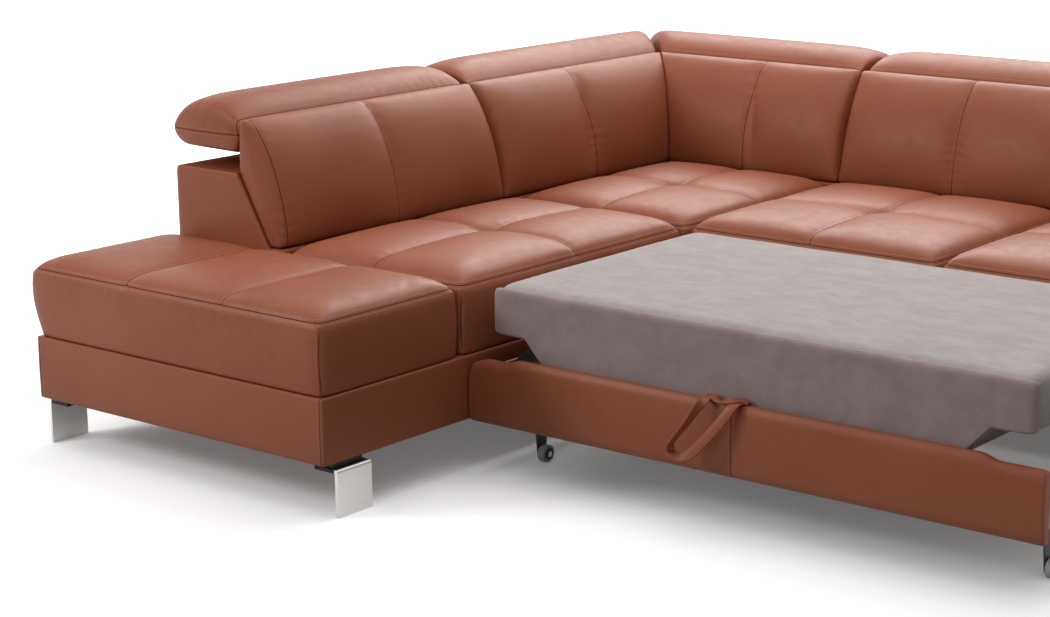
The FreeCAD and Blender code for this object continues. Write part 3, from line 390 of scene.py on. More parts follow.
def ease(distance, reach):
    """How full a crown stands at a distance from its edge, from 0 to 1."""
    part = min(1.0, max(0.0, distance / reach))
    return math.sqrt(1 - (1 - part) ** 2)


def box_surface(counts, place):
    """A closed surface of quads over the unit cube's faces; place(u, v, w) gives each point."""
    index = {}
    points = []
    shares = []
    faces = []

    def vertex(key):
        if key not in index:
            index[key] = len(points)
            share = tuple(step / count for step, count in zip(key, counts))
            shares.append(share)
            points.append(place(*share))
        return index[key]

    one_way = ((0, 0), (1, 0), (1, 1), (0, 1))
    other_way = ((0, 0), (0, 1), (1, 1), (1, 0))
    for axis, ends in ((2, ((counts[2], one_way), (0, other_way))),
                       (1, ((0, one_way), (counts[1], other_way))),
                       (0, ((0, other_way), (counts[0], one_way)))):
        first, second = counts[:axis] + counts[axis + 1:]
        for a in range(first):
            for b in range(second):
                for end, way in ends:
                    corners = [(a + step, b + side) for step, side in way]
                    faces.append([vertex(c[:axis] + (end,) + c[axis:]) for c in corners])
    return points, faces, shares


CLOTH_FRAMES = 16
CLOTH_STIFFNESS = 18.0
CLOTH_BENDING = 3.0


def swell(piece, held, pressure, cap):
    """Inflates a closed mesh as cloth with its held vertices fixed, and keeps the result."""
    group = piece.vertex_groups.new(name="held")
    for index, weight in enumerate(held):
        if weight > 0:
            group.add([index], weight, "REPLACE")
    cloth = piece.modifiers.new("Cloth", "CLOTH")
    settings = cloth.settings
    settings.quality = 4
    settings.mass = 0.4
    settings.tension_stiffness = CLOTH_STIFFNESS
    settings.compression_stiffness = CLOTH_STIFFNESS
    settings.shear_stiffness = CLOTH_STIFFNESS / 2
    settings.bending_stiffness = CLOTH_BENDING
    settings.air_damping = 2.0
    settings.use_pressure = True
    settings.uniform_pressure_force = pressure
    settings.effector_weights.gravity = 0
    settings.vertex_group_mass = "held"
    cloth.collision_settings.use_collision = False
    cloth.point_cache.frame_end = CLOTH_FRAMES
    for number in range(1, CLOTH_FRAMES + 1):
        scene.frame_set(number)
    graph = bpy.context.evaluated_depsgraph_get()
    moved = [v.co.copy() for v in piece.evaluated_get(graph).data.vertices]
    piece.modifiers.remove(cloth)
    for vertex, goal in zip(piece.data.vertices, moved):
        step = goal - vertex.co
        if step.length > cap:
            step = step * (cap / step.length)
        vertex.co = vertex.co + step
    piece.data.update()
    scene.frame_set(1)


def refine(piece):
    """One subdivision, kept in the mesh."""
    modifier = piece.modifiers.new("Fine", "SUBSURF")
    graph = bpy.context.evaluated_depsgraph_get()
    mesh = bpy.data.meshes.new_from_object(piece.evaluated_get(graph))
    piece.modifiers.remove(modifier)
    old = piece.data
    mesh.name = old.name + "_fine"
    piece.data = mesh
    bpy.data.meshes.remove(old)


def crease(piece, seams, wrinkle=1.3):
    """Draws the surface in at its seams and leaves short wrinkles, in millimetres, across them."""
    seam_reach = 0.09
    run_out = 0.01
    mesh = piece.data
    normals = [v.normal.copy() for v in mesh.vertices]
    moves = []
    for vertex in mesh.vertices:
        move = 0.0
        for seam_normal, offset, along, limits, depth in seams:
            distance = abs(vertex.co.dot(Vector(seam_normal)) - offset)
            outside = 0.0
            for axis, low, high in limits:
                value = vertex.co["XYZ".index(axis)] if isinstance(axis, str) else vertex.co.dot(Vector(axis))
                outside = max(outside, low - value, value - high)
            if distance > seam_reach or outside > run_out:
                continue
            fade = 1 - smoothstep(outside / run_out)
            run = vertex.co.dot(Vector(along))
            move -= depth * math.exp(-distance / 0.0075) * fade
            patch = noise.noise(Vector((run * 6, offset * 7, distance * 4)))
            wave = math.sin(run * 210 + 5 * noise.noise(Vector((run * 9, distance * 14, offset))))
            strength = math.exp(-distance / 0.022) * (1 - math.exp(-distance / 0.004))
            move += wrinkle * 0.001 * wave * strength * max(0.0, 0.25 + patch) * fade
        moves.append(move)
    for vertex, normal, move in zip(mesh.vertices, normals, moves):
        if move:
            vertex.co = vertex.co + normal * move
    mesh.update()


def dress(piece, body, nodes):
    """Puts a finished piece on its body in place of its CAD nodes."""
    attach(piece, body)
    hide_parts(*nodes)


def seam_x(x, limits=(), along=Y_RUN, depth=0.003):
    """A seam in the plane at x, as seam_masks has it, and the depth in metres that it draws in."""
    return (X_RUN, at(x, 0, 0).x, along, limits, depth)


def seam_y(y, limits=(), along=X_RUN, depth=0.003):
    """The same in the plane at y."""
    return (Y_RUN, at(0, y, 0).y, along, limits, depth)


def seam_z(z, depth):
    """A level seam all round a piece; its stitches run along both walls."""
    return (Z_RUN, z / 1000, (0.7071, 0.7071, 0), (), depth)


def seat(node, x_range, y_range, tuft=None, cross_x=(), crown=52, outer=0):
    """A seat block: bulging upright sides, and puffed panels between sewn cross seams.

    At a tuft (x, y) two seams cross and the middle is sunk. outer is the overhang at the low x end.
    """
    cross_x, cross_y = ([tuft[0]], [tuft[1]]) if tuft else (cross_x, [])
    x0, x1 = x_range
    y0, y1 = y_range
    width, depth = x1 - x0, y1 - y0
    cell, reach, roll = 13, 80, 30
    corner_inset, corner_reach = 6, 17
    counts = max(12, round(width / cell / 6) * 6), max(12, round(depth / cell / 6) * 6), 12
    base = SEAT_BASE - 5

    def sunk(x, y, rise):
        """How far the top lies below its crown at the cross seams and the tuft."""
        sink = 0.0
        for gap in [abs(x - seam) for seam in cross_x] + [abs(y - seam) for seam in cross_y]:
            sink += rise * (5 * math.exp(-gap / 46) + 4 * math.exp(-gap / 8))
        if tuft:
            gap = math.hypot(x - tuft[0], y - tuft[1])
            sink += 8 * math.exp(-(gap / 60) ** 2) + 13 * math.exp(-gap / 17)
            sink += 5 * math.exp(-gap / 60) * math.exp(-min(abs(x - tuft[0]), abs(y - tuft[1])) / 8)
        return sink

    def place(u, v, w):
        x, y = lerp(x0, x1, u), lerp(y0, y1, v)
        edge_x, edge_y = min(u, 1 - u) * width, min(v, 1 - v) * depth
        side = math.sin(math.pi * w) ** 0.8 if 0 < w < 1 else 0.0
        inset = 4.5 * (1 - side) - (1.5 if w == 0 else 0)
        inset += corner_inset * math.exp(-edge_x / corner_reach) * math.exp(-edge_y / corner_reach)
        overhang = outer * (math.sin(math.pi * min(1, w * 1.15) * 0.5) ** 1.2) * max(0.0, 1 - u * 3)
        x += inset * (1 - 2 * u) - overhang
        y += inset * (1 - 2 * v)
        z = lerp(base, SEAT_SEAM, w)
        if w == 1:
            rise = ease(edge_x, reach) * ease(edge_y, reach)
            middle = (math.sin(math.pi * u) * math.sin(math.pi * v)) ** 0.5
            z += roll * rise + (crown - roll - 3) * middle - sunk(x, y, rise)
        return at(x, y, z)

    points, faces, shares = box_surface(counts, place)
    over = (("Z", at(0, 0, SEAT_SEAM).z + 0.004, 1.0),)
    under = (("Z", 0.0, at(0, 0, SEAT_SEAM).z),)
    seams = [seam_x(x, over) for x in cross_x] + [seam_y(y, over) for y in cross_y]
    seams.append(seam_z(SEAT_SEAM + 3, 0.0035))
    corner_seam = seam_x(x1 - 9, under + (("Y", -9.0, at(0, y0 + 40, 0).y),), Z_RUN)
    drawn = [(normal, offset, None if tuft else along, limits) for normal, offset, along, limits, _ in seams]
    drawn[-1:] = [seams[-1][:4], corner_seam[:4]]
    piece = mesh_object(f"{node}_cushion", points, faces, leather(f"{node}_leather", drawn))

    def hold(share, point):
        """How firmly the cloth is held at a point: sides and seams stay, panels swell."""
        u, v, w = share
        if w == 0:
            return 1.0
        if w < 1:
            return 0.75
        if min(u, 1 - u, v, 1 - v) == 0:
            return 0.95
        corner = to_corner(point)
        near = min([abs(corner.x - seam) for seam in cross_x] + [abs(corner.y - seam) for seam in cross_y])
        return 0.97 if near < 5 else 0.4 if near < 16 else 0.0

    swell(piece, [hold(share, point) for share, point in zip(shares, points)], 2.4, 0.009)
    refine(piece)
    crease(piece, seams)
    dress(piece, "sofa", [node])


seat("footstool_seat", (-WING_DEPTH, -1), (0, FOOTSTOOL - 1),
     cross_x=[-WING_DEPTH / 3 * 2, -WING_DEPTH / 3], crown=36, outer=26)
seat("wing_seat", (WING_CREASE + 2, 0), (FOOTSTOOL + 1, SEAT_FRONT - 1), (-287.5, 876.5))
seat("corner_seat", (WING_CREASE + 2, -1), (SEAT_FRONT + 1, MAIN_CREASE - 2), (-287.5, 1660.5))
seat("main_seat_left", (1, SEAT_SPLIT - 1), (SEAT_FRONT, MAIN_CREASE - 2), (364, 1659.5))
seat("main_seat_right", (SEAT_SPLIT + 1, MAIN_WIDTH - 1), (SEAT_FRONT, MAIN_CREASE - 2), (1092, 1659.5))


# Back cushions and headrests along two walls

def wall_at(wall, along, depth, height):
    """A point from its place along a wall, its depth from the back and its height."""
    if wall == "wing":
        return at(-WING_DEPTH + depth, along, height)
    return at(along, OVERALL_DEPTH - depth, height)


def mitre(wall, depth, offset, spread=1.0):
    """Where the corner's mitre plane meets a wall's cushions at a depth, offset from it."""
    spread_depth = HINGE[0] + (depth - HINGE[0]) * spread
    if wall == "wing":
        return OVERALL_DEPTH - spread_depth - offset
    return -WING_DEPTH + spread_depth + offset


def mitred_ends(wall, low, high, mitred, offset, spread=1.0):
    """The ends of a piece at the hinge line, its mitred end worked out."""
    corner = mitre(wall, HINGE[0], offset, spread)
    return corner if mitred == "low" else low, corner if mitred == "high" else high


def stretched(along, near, far, mitred, corner):
    """A place along a piece, moved in proportion so that its mitred end lies at the corner."""
    if mitred == "high":
        return near + (corner - near) * (along - near) / (far - near)
    if mitred == "low":
        return far - (far - corner) * (far - along) / (far - near)
    return along


def wall_depth(wall, point):
    """The depth from a wall's back of a point in the row frame."""
    corner = to_corner(point)
    return corner.x + WING_DEPTH if wall == "wing" else OVERALL_DEPTH - corner.y


def arc_points(start, end, rise, count):
    """Points along an arc from start towards end, end left out, rising to the left."""
    (x0, y0), (x1, y1) = start, end
    chord = math.dist(start, end)
    points = []
    for step in range(count):
        share = step / count
        lift = 4 * rise * share * (1 - share) / chord
        points.append((lerp(x0, x1, share) - (y1 - y0) * lift, lerp(y0, y1, share) + (x1 - x0) * lift))
    return points


def closed_outline(corners, rises, counts):
    """An outline through corners, each side an arc with its own rise and number of points."""
    points = []
    for corner, following, rise, count in zip(corners, corners[1:] + corners[:1], rises, counts):
        points += arc_points(corner, following, rise, count)
    return points


def sweep(name, section, stations, place, material, bulge=0.0):
    """Rings of a section along a wall, closed by rings that shrink into each end."""
    rings = [[place(station, point) for point in section(station)] for station in stations]
    count = len(rings[0])
    pairs = [(column, (column + 1) % count) for column in range(count)]
    points = []
    faces = []
    for ring in rings:
        points += ring
    for start in range(0, (len(rings) - 1) * count, count):
        for here, after in pairs:
            faces.append((start + here, start + count + here, start + count + after, start + after))
    for outer, turn, ring, before in ((0, 1, rings[0], rings[1]),
                                      ((len(rings) - 1) * count, -1, rings[-1], rings[-2])):
        centre = sum(ring, Vector()) / count
        outward = (centre - sum(before, Vector()) / count).normalized() * bulge / 1000
        for share in (0.94, 0.82, 0.64, 0.42, 0.2):
            inner = len(points)
            points += [centre.lerp(p, share) + outward * math.sqrt(1 - share * share) for p in ring]
            for here, after in pairs:
                faces.append((outer + here, outer + after, inner + after, inner + here)[::turn])
            outer = inner
        faces += [(outer + here, outer + after, len(points))[::turn] for here, after in pairs]
        points.append(centre + outward)
    return mesh_object(name, points, faces, material)


# Each back cushion and headrest: name, wall, low end, high end, and which end is mitred
WALLS = [
    ("1", "wing", FOOTSTOOL + 3, SEAT_FRONT - 21, None),
    ("2", "wing", SEAT_FRONT - 19, None, "high"),
    ("3", "main", None, -1, "low"),
    ("4", "main", 1, SEAT_SPLIT - 1, None),
    ("5", "main", SEAT_SPLIT + 1, MAIN_WIDTH - 1, None),
]
# The front edges of a back cushion, as depth from the back and height
CUSHION_FOOT = (352, 444)
CUSHION_TOP = (231, 746)
CUSHION_GAP = 2
HEADREST_GAP = 7
HEADREST_SPREAD = 0.978


def end_places(low, high, count):
    """Places along a cushion, closer together near both ends."""
    places = []
    for step in range(count + 1):
        share = step / count
        bent = 0.5 - 0.5 * math.cos(math.pi * share)
        places.append(lerp(low, high, lerp(share, bent, 0.45)))
    return places


def back_cushion(name, wall, low, high, mitred):
    """A back cushion: a slanted crowned front in two panels, with a sewn seam between them."""
    low, high = mitred_ends(wall, low, high, mitred, CUSHION_GAP)
    middle = (low + high) / 2
    open_end = name == "1"
    near = low + (0 if mitred == "low" else 8 if open_end else 1)
    far = high - (0 if mitred == "high" else 1)
    length = far - near
    foot, foot_height = CUSHION_FOOT
    top, top_height = CUSHION_TOP
    run, rise = foot - top, top_height - foot_height
    slope = math.hypot(run, rise)
    full_reach, lip_reach = 150, 26
    end_crown, lip_crown, panel_crown = 6, 19, 26
    counts = [4, 28, 2, 6, 8]
    front = range(counts[0], counts[0] + counts[1])

    def section(place):
        ends = [place - near] * (mitred != "low") + [far - place] * (mitred != "high")
        full = math.prod(ease(distance, full_reach) for distance in ends)
        lip = math.prod(ease(distance, lip_reach) for distance in ends)
        inset = 5 * (1 - lip)
        groove = 9 * math.exp(-abs(place - middle) / 30) + 3 * math.exp(-abs(place - middle) / 8)
        panels = 0.84 + 0.16 * abs(math.sin(2 * math.pi * (place - near) / length)) ** 0.7
        crown = end_crown + lip_crown * lip + full * (panel_crown * panels - groove)
        drop = inset * 0.6
        corners = [(316, foot_height), (foot - inset, foot_height), (top, top_height - drop),
                   (top - 10, top_height - 8 - drop), (216, 619)]
        shaped = []
        for index, (depth, height) in enumerate(closed_outline(corners, [0, 0, -1, 0, 0], counts)):
            share = (height - foot_height) / rise
            if index in front and 0 < share < 1:
                lift = crown * (4 * share * (1 - share)) ** 0.72 * (0.82 + 0.40 * share)
                depth, height = depth + lift * rise / slope, height + lift * run / slope
            shaped.append((depth, height))
        return shaped

    def put(place, point):
        depth, height = point
        corner = mitre(wall, depth, CUSHION_GAP)
        return wall_at(wall, stretched(place, near, far, mitred, corner), depth, height)

    across = Y_RUN if wall == "wing" else X_RUN

    def upright(place, limits=(), depth=0.003):
        return (across, at(place, place, 0).dot(Vector(across)), Z_RUN, limits, depth)

    seam_place = middle
    if mitred:
        seam_place = ((near if mitred == "high" else far) + mitre(wall, 300, CUSHION_GAP)) / 2
    seams = [upright(seam_place)]
    if open_end:
        seams.append(upright(low + 27, (((0.928, 0, 0.372), -0.710, 9.0),), 0.002))
    drawn = [(normal, offset, None, limits) for normal, offset, _, limits, _ in seams]
    material = leather(f"back_cushion_{name}_leather", drawn)
    places = end_places(near, far, 54)
    piece = sweep(f"back_cushion_{name}_cushion", section, places, put, material, 8 if open_end else 4)
    fix_normals(piece)
    held = []
    for vertex in piece.data.vertices:
        chord = lerp(top, foot, (745 - to_corner(vertex.co).z) / 301)
        on_seam = abs(vertex.co.dot(Vector(across)) - seams[0][1]) < 0.009
        held.append(1.0 if wall_depth(wall, vertex.co) - chord < 3 else 0.97 if on_seam else 0.0)
    swell(piece, held, 2.6, 0.010)
    refine(piece)
    crease(piece, seams, 3.4 if open_end else 2.0)
    dress(piece, "sofa", [f"back_cushion_{name}"])


def headrest(name, wall, low, high, mitred):
    """A headrest pad: a domed wedge on the hinge, rounded off towards its free ends."""
    low, high = mitred_ends(wall, low, high, mitred, HEADREST_GAP, HEADREST_SPREAD)
    bulge = 12
    near, far = low + (4 if mitred == "low" else bulge), high - (4 if mitred == "high" else bulge)
    near_reach, far_reach = (45 if mitred == end else 120 for end in ("low", "high"))

    def section(place):
        full = ease(place - near, near_reach) * ease(far - place, far_reach)
        less = 1 - full
        corners = [(222, 722), (222, 735), (75, 788 - 24 * less), (-37 + 16 * less, 706),
                   (28, 657 + 10 * less), (204, 657 + 6 * less)]
        rises = [-4, -17 - 5 * full, -16 - 5 * full, -9, 0, 0]
        return closed_outline(corners, rises, [4, 16, 14, 7, 10, 6])

    def put(place, point):
        depth, height = point
        lean = 0.1 * (height - HINGE[1])
        corner = mitre(wall, depth, HEADREST_GAP + 4 + lean, HEADREST_SPREAD)
        return wall_at(wall, stretched(place, near, far, mitred, corner), depth, height)

    over = (("Z", 0.7, 1.0),)
    front = seam_x(-WING_DEPTH + 211, over, depth=0.0022)
    if wall == "main":
        front = seam_y(OVERALL_DEPTH - 211, over, depth=0.0022)
    seams = [front, seam_z(705, 0.002)]
    material = leather(f"headrest_{name}_leather", [s[:4] for s in seams])
    places = end_places(near, far, 46)
    piece = sweep(f"headrest_{name}_cushion", section, places, put, material, 3 if mitred else bulge)
    fix_normals(piece)
    spots = [vertex.co for vertex in piece.data.vertices]
    held = [1.0 if wall_depth(wall, spot) > 205 or spot.z < 0.69 else 0.0 for spot in spots]
    swell(piece, held, 2.2, 0.006)
    refine(piece)
    crease(piece, seams, 1.2)
    dress(piece, f"headrest_{name}_pad", [f"headrest_{name}"])


for wall_row in WALLS:
    back_cushion(*wall_row)
    headrest(*wall_row)


# Mattress and its keel

def mattress_slab():
    """The mattress: crowned top with soft edges; its under edge reaches a little lower all round."""
    x0, x1, y0, y1 = 50, 1414, 495, 1275
    width, depth = x1 - x0, y1 - y0
    low, high = 335.5, 436

    def place(u, v, w):
        x, y = lerp(x0, x1, u), lerp(y0, y1, v)
        edge_x, edge_y = min(u, 1 - u) * width, min(v, 1 - v) * depth
        side = math.sin(math.pi * w) if 0 < w < 1 else 0.0
        inset = 5 * (1 - side) + 12 * math.exp(-edge_x / 26) * math.exp(-edge_y / 26)
        x += inset * (1 - 2 * u)
        y += inset * (1 - 2 * v)
        z = lerp(low - 12 if min(edge_x, edge_y) < 9 else low, high - 10, w)
        if w == 1:
            middle = (math.sin(math.pi * u) * math.sin(math.pi * v)) ** 0.5
            z += 12 * ease(edge_x, 34) * ease(edge_y, 34) + 6 * middle
            z += 1.2 * noise.noise(Vector((x / 160, y / 160, 3.1)))
        return at(x, y, z)

    points, faces, shares = box_surface((90, 52, 8), place)
    piece = mesh_object("mattress_pad", points, faces, suede("mattress_suede"))
    held = [1.0 if w == 0 else 0.8 if {u, v} & {0, 1} else 0.55 for u, v, w in shares]
    swell(piece, held, 1.6, 0.006)
    refine(piece)
    dress(piece, "bed_platform", ["mattress"])


mattress_slab()


def front_panel():
    """The mattress cover's front: one cloth face over the slab's side and the sloped keel below it."""
    x0, x1 = 51, 1413
    slab_low, keel_low, slab_top = 325, 264, 431
    keel_start, keel_end, keel_slope = 145, 1319, 57

    def low_edge(x):
        into_keel = min((x - keel_start) / keel_slope, (keel_end - x) / keel_slope)
        if into_keel > 0:
            return lerp(slab_low, keel_low, min(1.0, into_keel))
        return slab_low + 12 * math.exp(-(x - x0) / 9) + 4 * math.exp(-(x1 - x) / 9)

    def place(u, v, w):
        x = lerp(x0, x1, u)
        top = slab_top - 8 * math.exp(-(x - x0) / 10) - 8 * math.exp(-(x1 - x) / 10)
        z = lerp(low_edge(x), top, w)
        round_off = 11 * math.exp(-(x - x0) / 8) + 11 * math.exp(-(x1 - x) / 8) + 5 * math.exp(-(top - z) / 5)
        y = lerp(492.3, 499, v) + round_off + 0.7 * noise.noise(Vector((x / 90, z / 60, 1.7)))
        return at(x, y, z)

    points, faces, _ = box_surface((240, 2, 22), place)
    # Painted shade: the front cloth's suede is tinted darker and redder (0.82, 0.72, 0.73) than the top's.
    cloth = suede("mattress_front_suede_painted_shade", (0.82, 0.72, 0.73))
    piece = mesh_object("mattress_front_cloth", points, faces, cloth)
    fix_normals(piece)
    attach(piece, "bed_platform")


front_panel()


def sidearm_top():
    """The right arm's soft top."""
    x0, x1, y0, y1 = MAIN_WIDTH + 8, MAIN_WIDTH + 220, SEAT_FRONT, OVERALL_DEPTH
    low, thick, crown = 531, 32, 25

    def place(u, v, w):
        x, y = lerp(x0, x1, u), lerp(y0, y1, v)
        edge_x, edge_y = min(u, 1 - u) * (x1 - x0), min(v, 1 - v) * (y1 - y0)
        inset = 4 * (1 - math.sin(math.pi * min(w, 0.999)))
        x += inset * (1 - 2 * u)
        y += inset * (1 - 2 * v)
        z = lerp(low, low + thick, w)
        if w == 1:
            z += crown * ease(edge_x, 60) * ease(edge_y, 60)
        return at(x, y, z)

    points, faces, shares = box_surface((18, 80, 4), place)
    piece = mesh_object("sidearm_cushion", points, faces, leather("sidearm_leather"))
    swell(piece, [1.0 if w < 1 else 0.3 for _, _, w in shares], 2.0, 0.006)
    refine(piece)
    dress(piece, "sofa", ["sidearm_pad"])


sidearm_top()


# Leather stretched over the timber bases

def plinth_wrap(module, y_range, rows, seams=()):
    """The leather round a plinth of the wing's depth: soft edges and faintly full sides."""
    ranges = ((-WING_DEPTH, 0), y_range, (120, 269))
    counts = (36, rows, 7)
    edges = (7, 7, 3.5)
    fullness = 1.2

    def tight(share, span, count, edge):
        """A grid place, with the first and last rows close to the edges."""
        low, high = span
        if share in (0, 1):
            return lerp(low, high, share)
        return lerp(low + edge, high - edge, (share * count - 1) / (count - 2))

    def place(*shares):
        x, y, z = (tight(*row) for row in zip(shares, ranges, counts, edges))
        full = fullness * math.sin(math.pi * shares[2])
        x += {0: -full, 1: full}.get(shares[0], 0.0)
        y += {0: -full, 1: full}.get(shares[1], 0.0)
        return at(x, y, z)

    name = f"{module}_plinth_wrap"
    points, faces, _ = box_surface(counts, place)
    piece = mesh_object(name, points, faces, leather(f"{name}_leather", seams))
    refine(piece)
    dress(piece, "sofa", [f"{module}_plinth_cover"])


corner_seams = [seam_x(x, (("Y", -9.0, at(0, 30, 0).y),), Z_RUN)[:4] for x in (-7, -WING_DEPTH + 7)]
plinth_wrap("wing", (0, SEAT_FRONT - MODULE_GAP), 48, corner_seams)
plinth_wrap("corner", (SEAT_FRONT, OVERALL_DEPTH), 40)


def drawer_skin():
    """The drawer front's leather: rounded upper edge that steps down at both ends."""
    x0, x1 = MODULE_GAP, MAIN_WIDTH
    middle = (x0 + x1) / 2
    low, high, step = 118, 276, 11

    def top_edge(x):
        into_step = (150 - x) / 46 if x < middle else (x - (x1 - 149)) / 44
        drop = step * smoothstep(into_step) + 10 * smoothstep((58 - x) / 44)
        drop += 18 * (1 - ease(x - x0, 20)) + 5 * (1 - ease(x1 - x, 6))
        return high - drop

    def place(u, v, w):
        x = lerp(x0, x1, u)
        z = lerp(low, top_edge(x), w)
        full = math.sin(math.pi * w) ** 0.6 if 0 < w < 1 else 0.0
        seam = math.exp(-abs(x - middle) / 9)
        y = lerp(463 - 4 * full + 3 * seam * full, 488, v)
        if v == 0 and w in (0, 1):
            y += 5
        if w == 1 and 0 < v < 1:
            z += 2.0
        return at(x, y, z)

    points, faces, _ = box_surface((180, 4, 14), place)
    seams = [seam_x(middle, (("Y", -2.0, at(0, 470, 0).y),), Z_RUN)[:4]]
    piece = mesh_object("drawer_front_skin", points, faces, leather("drawer_leather", seams))
    fix_normals(piece)
    refine(piece)
    dress(piece, "bed_drawer", ["drawer_front_cover"])


drawer_skin()


def rounded_path(corners, radii, steps=5):
    """A closed outline whose corners are rounded by arcs of the given radii."""
    points = []
    corners = [Vector(corner).to_2d() for corner in corners]
    for index, (here, radius) in enumerate(zip(corners, radii)):
        before = (corners[index - 1] - here).normalized()
        after = (corners[(index + 1) % len(corners)] - here).normalized()
        reach = radius / math.tan(before.angle(after) / 2)
        start, end = here + before * reach, here + after * reach
        for step in range(steps + 1):
            share = step / steps
            points.append(tuple(start.lerp(here, share).lerp(here.lerp(end, share), share)))
    return points


def dense(points, spacing):
    """The same outline with its long sides divided."""
    sides = zip(points, points[1:] + points[:1])
    counts = [max(1, round(math.dist(start, end) / spacing)) for start, end in sides]
    return closed_outline(points, [0] * len(points), counts)


BOX_OUTLINE = dense(rounded_path(
    [(1, 271), (353, 271), (353, 441), (316, 441), (215, 616), (1, 616)], [2, 2, 8, 2, 6, 17]), 22)


def back_box(name, wall, low, high, mitred=None, seams=()):
    """The covered box behind the cushions, as one wrapped form with flat ends."""
    inner = high - low - 12
    places = [low, low + 2, low + 6] + [low + 6 + inner * step / 30 for step in range(1, 30)]
    places += [high - 6, high - 2, high]
    middle_x, middle_z = (sum(values) / len(BOX_OUTLINE) for values in zip(*BOX_OUTLINE))
    shrink = 1.8 / 150

    def section(place):
        if mitred or min(place - low, high - place) >= 1:
            return BOX_OUTLINE
        return [(lerp(x, middle_x, shrink), lerp(z, middle_z, shrink)) for x, z in BOX_OUTLINE]

    def put(place, point):
        depth, height = point
        return wall_at(wall, stretched(place, low, high, mitred, mitre(wall, depth, 0)), depth, height)

    return sweep(name, section, places, put, leather(f"{name}_leather", seams, dull_top=True))


def join(first, second):
    """Two meshes as one object, the first's."""
    work = bmesh.new()
    work.from_mesh(first.data)
    work.from_mesh(second.data)
    work.to_mesh(first.data)
    work.free()
    bpy.data.objects.remove(second)
    return first


wing_box = back_box("wing_back_wrap", "wing", FOOTSTOOL, SEAT_FRONT - MODULE_GAP,
                    seams=[(Y_RUN, at(0, FOOTSTOOL + 9, 0).y, None, ())])
main_box = back_box("main_back_wrap", "main", MODULE_GAP, MAIN_WIDTH)
corner_box = join(back_box("corner_back_wrap", "wing", SEAT_FRONT, OVERALL_DEPTH - HINGE[0], "high"),
                  back_box("corner_back_wrap_b", "main", -WING_DEPTH + HINGE[0], 0, "low"))
for module, piece in (("wing", wing_box), ("main", main_box), ("corner", corner_box)):
    fix_normals(piece)
    dress(piece, "sofa", [f"{module}_back_cover"])


# The pull strap: a stitched leather band whose loop hangs over the drawer front

def smooth_run(controls, count):
    """Points along a Catmull-Rom line through the controls."""
    result = []
    padded = [controls[0]] + controls + [controls[-1]]
    for index in range(1, len(padded) - 2):
        p0, p1, p2, p3 = padded[index - 1:index + 3]
        for step in range(count):
            t = step / count
            result.append(0.5 * ((2 * p1) + (p2 - p0) * t + (2 * p0 - 5 * p1 + 4 * p2 - p3) * t ** 2
                                 + (3 * p1 - p0 - 3 * p2 + p3) * t ** 3))
    result.append(controls[-1])
    return result


def band(name, route, wides, width, thick, material):
    """A flat band along a route; wides gives the direction of its width at each control."""
    line = smooth_run([Vector(p) for p in route], 10)
    sides = smooth_run([Vector(w) for w in wides], 10)
    ring = [(-0.5, 0.3), (-0.42, 0.5), (-0.2, 0.42), (0.2, 0.42), (0.42, 0.5), (0.5, 0.3),
            (0.5, -0.3), (0.42, -0.5), (-0.42, -0.5), (-0.5, -0.3)]
    points = []
    faces = []
    for index, (here, side) in enumerate(zip(line, sides)):
        along = (line[min(index + 1, len(line) - 1)] - line[max(index - 1, 0)]).normalized()
        side = (side - along * side.dot(along)).normalized()
        normal = along.cross(side)
        for across, up in ring:
            spot = here + side * (across * width) + normal * (up * thick)
            points.append(at(*spot))
    size = len(ring)
    for row in range(len(line) - 1):
        for column in range(size):
            a, b = row * size + column, row * size + (column + 1) % size
            faces.append((a, b, b + size, a + size))
    faces.append(tuple(range(size - 1, -1, -1)))
    faces.append(tuple(range((len(line) - 1) * size, len(line) * size)))
    piece = mesh_object(name, points, faces, material)
    fix_normals(piece)
    return piece


def pull_strap():
    """The strap's loop, and the twisted fold between its ends on the drawer front's top edge."""
    material = leather("strap_leather")
    route = [(664, 494, 250), (664, 492, 279), (668, 476, 284), (672, 452, 283), (664, 434, 268),
             (645, 416, 230), (622, 408, 198), (613, 406, 180), (620, 407, 165), (640, 409, 161),
             (666, 414, 176), (700, 426, 216), (728, 438, 254), (742, 450, 279), (746, 472, 283),
             (748, 491, 279), (748, 494, 250)]
    wides = [(1, 0, 0), (1, 0, 0), (1, 0.1, 0), (0.9, 0.5, 0.1), (0.5, 0.9, 0.1), (0.25, 1, 0),
             (0.2, 1, 0), (0.2, 1, 0.1), (0.1, -0.9, -0.4), (0.3, -0.55, -0.7), (0.5, -0.2, -0.8),
             (0.6, -0.15, -0.7), (0.9, -0.1, -0.5), (1, -0.1, -0.2), (1, 0, 0), (1, 0, 0), (1, 0, 0)]
    loop = band("pull_strap_band", route, wides, 23, 4.2, material)
    fold = [(668, 478, 284), (684, 462, 288), (706, 452, 283),
            (728, 456, 287), (748, 472, 288), (762, 480, 283)]
    turned = [(0.1, 0.8, 0.5), (0.2, 0.9, 0.2), (0.1, 1, -0.2),
              (0, 0.9, 0.4), (-0.1, 1, 0), (-0.2, 0.9, 0.3)]
    strap = join(loop, band("pull_strap_fold", fold, turned, 18, 5.0, material))
    dress(strap, "bed_drawer", ["pull_strap"])


pull_strap()


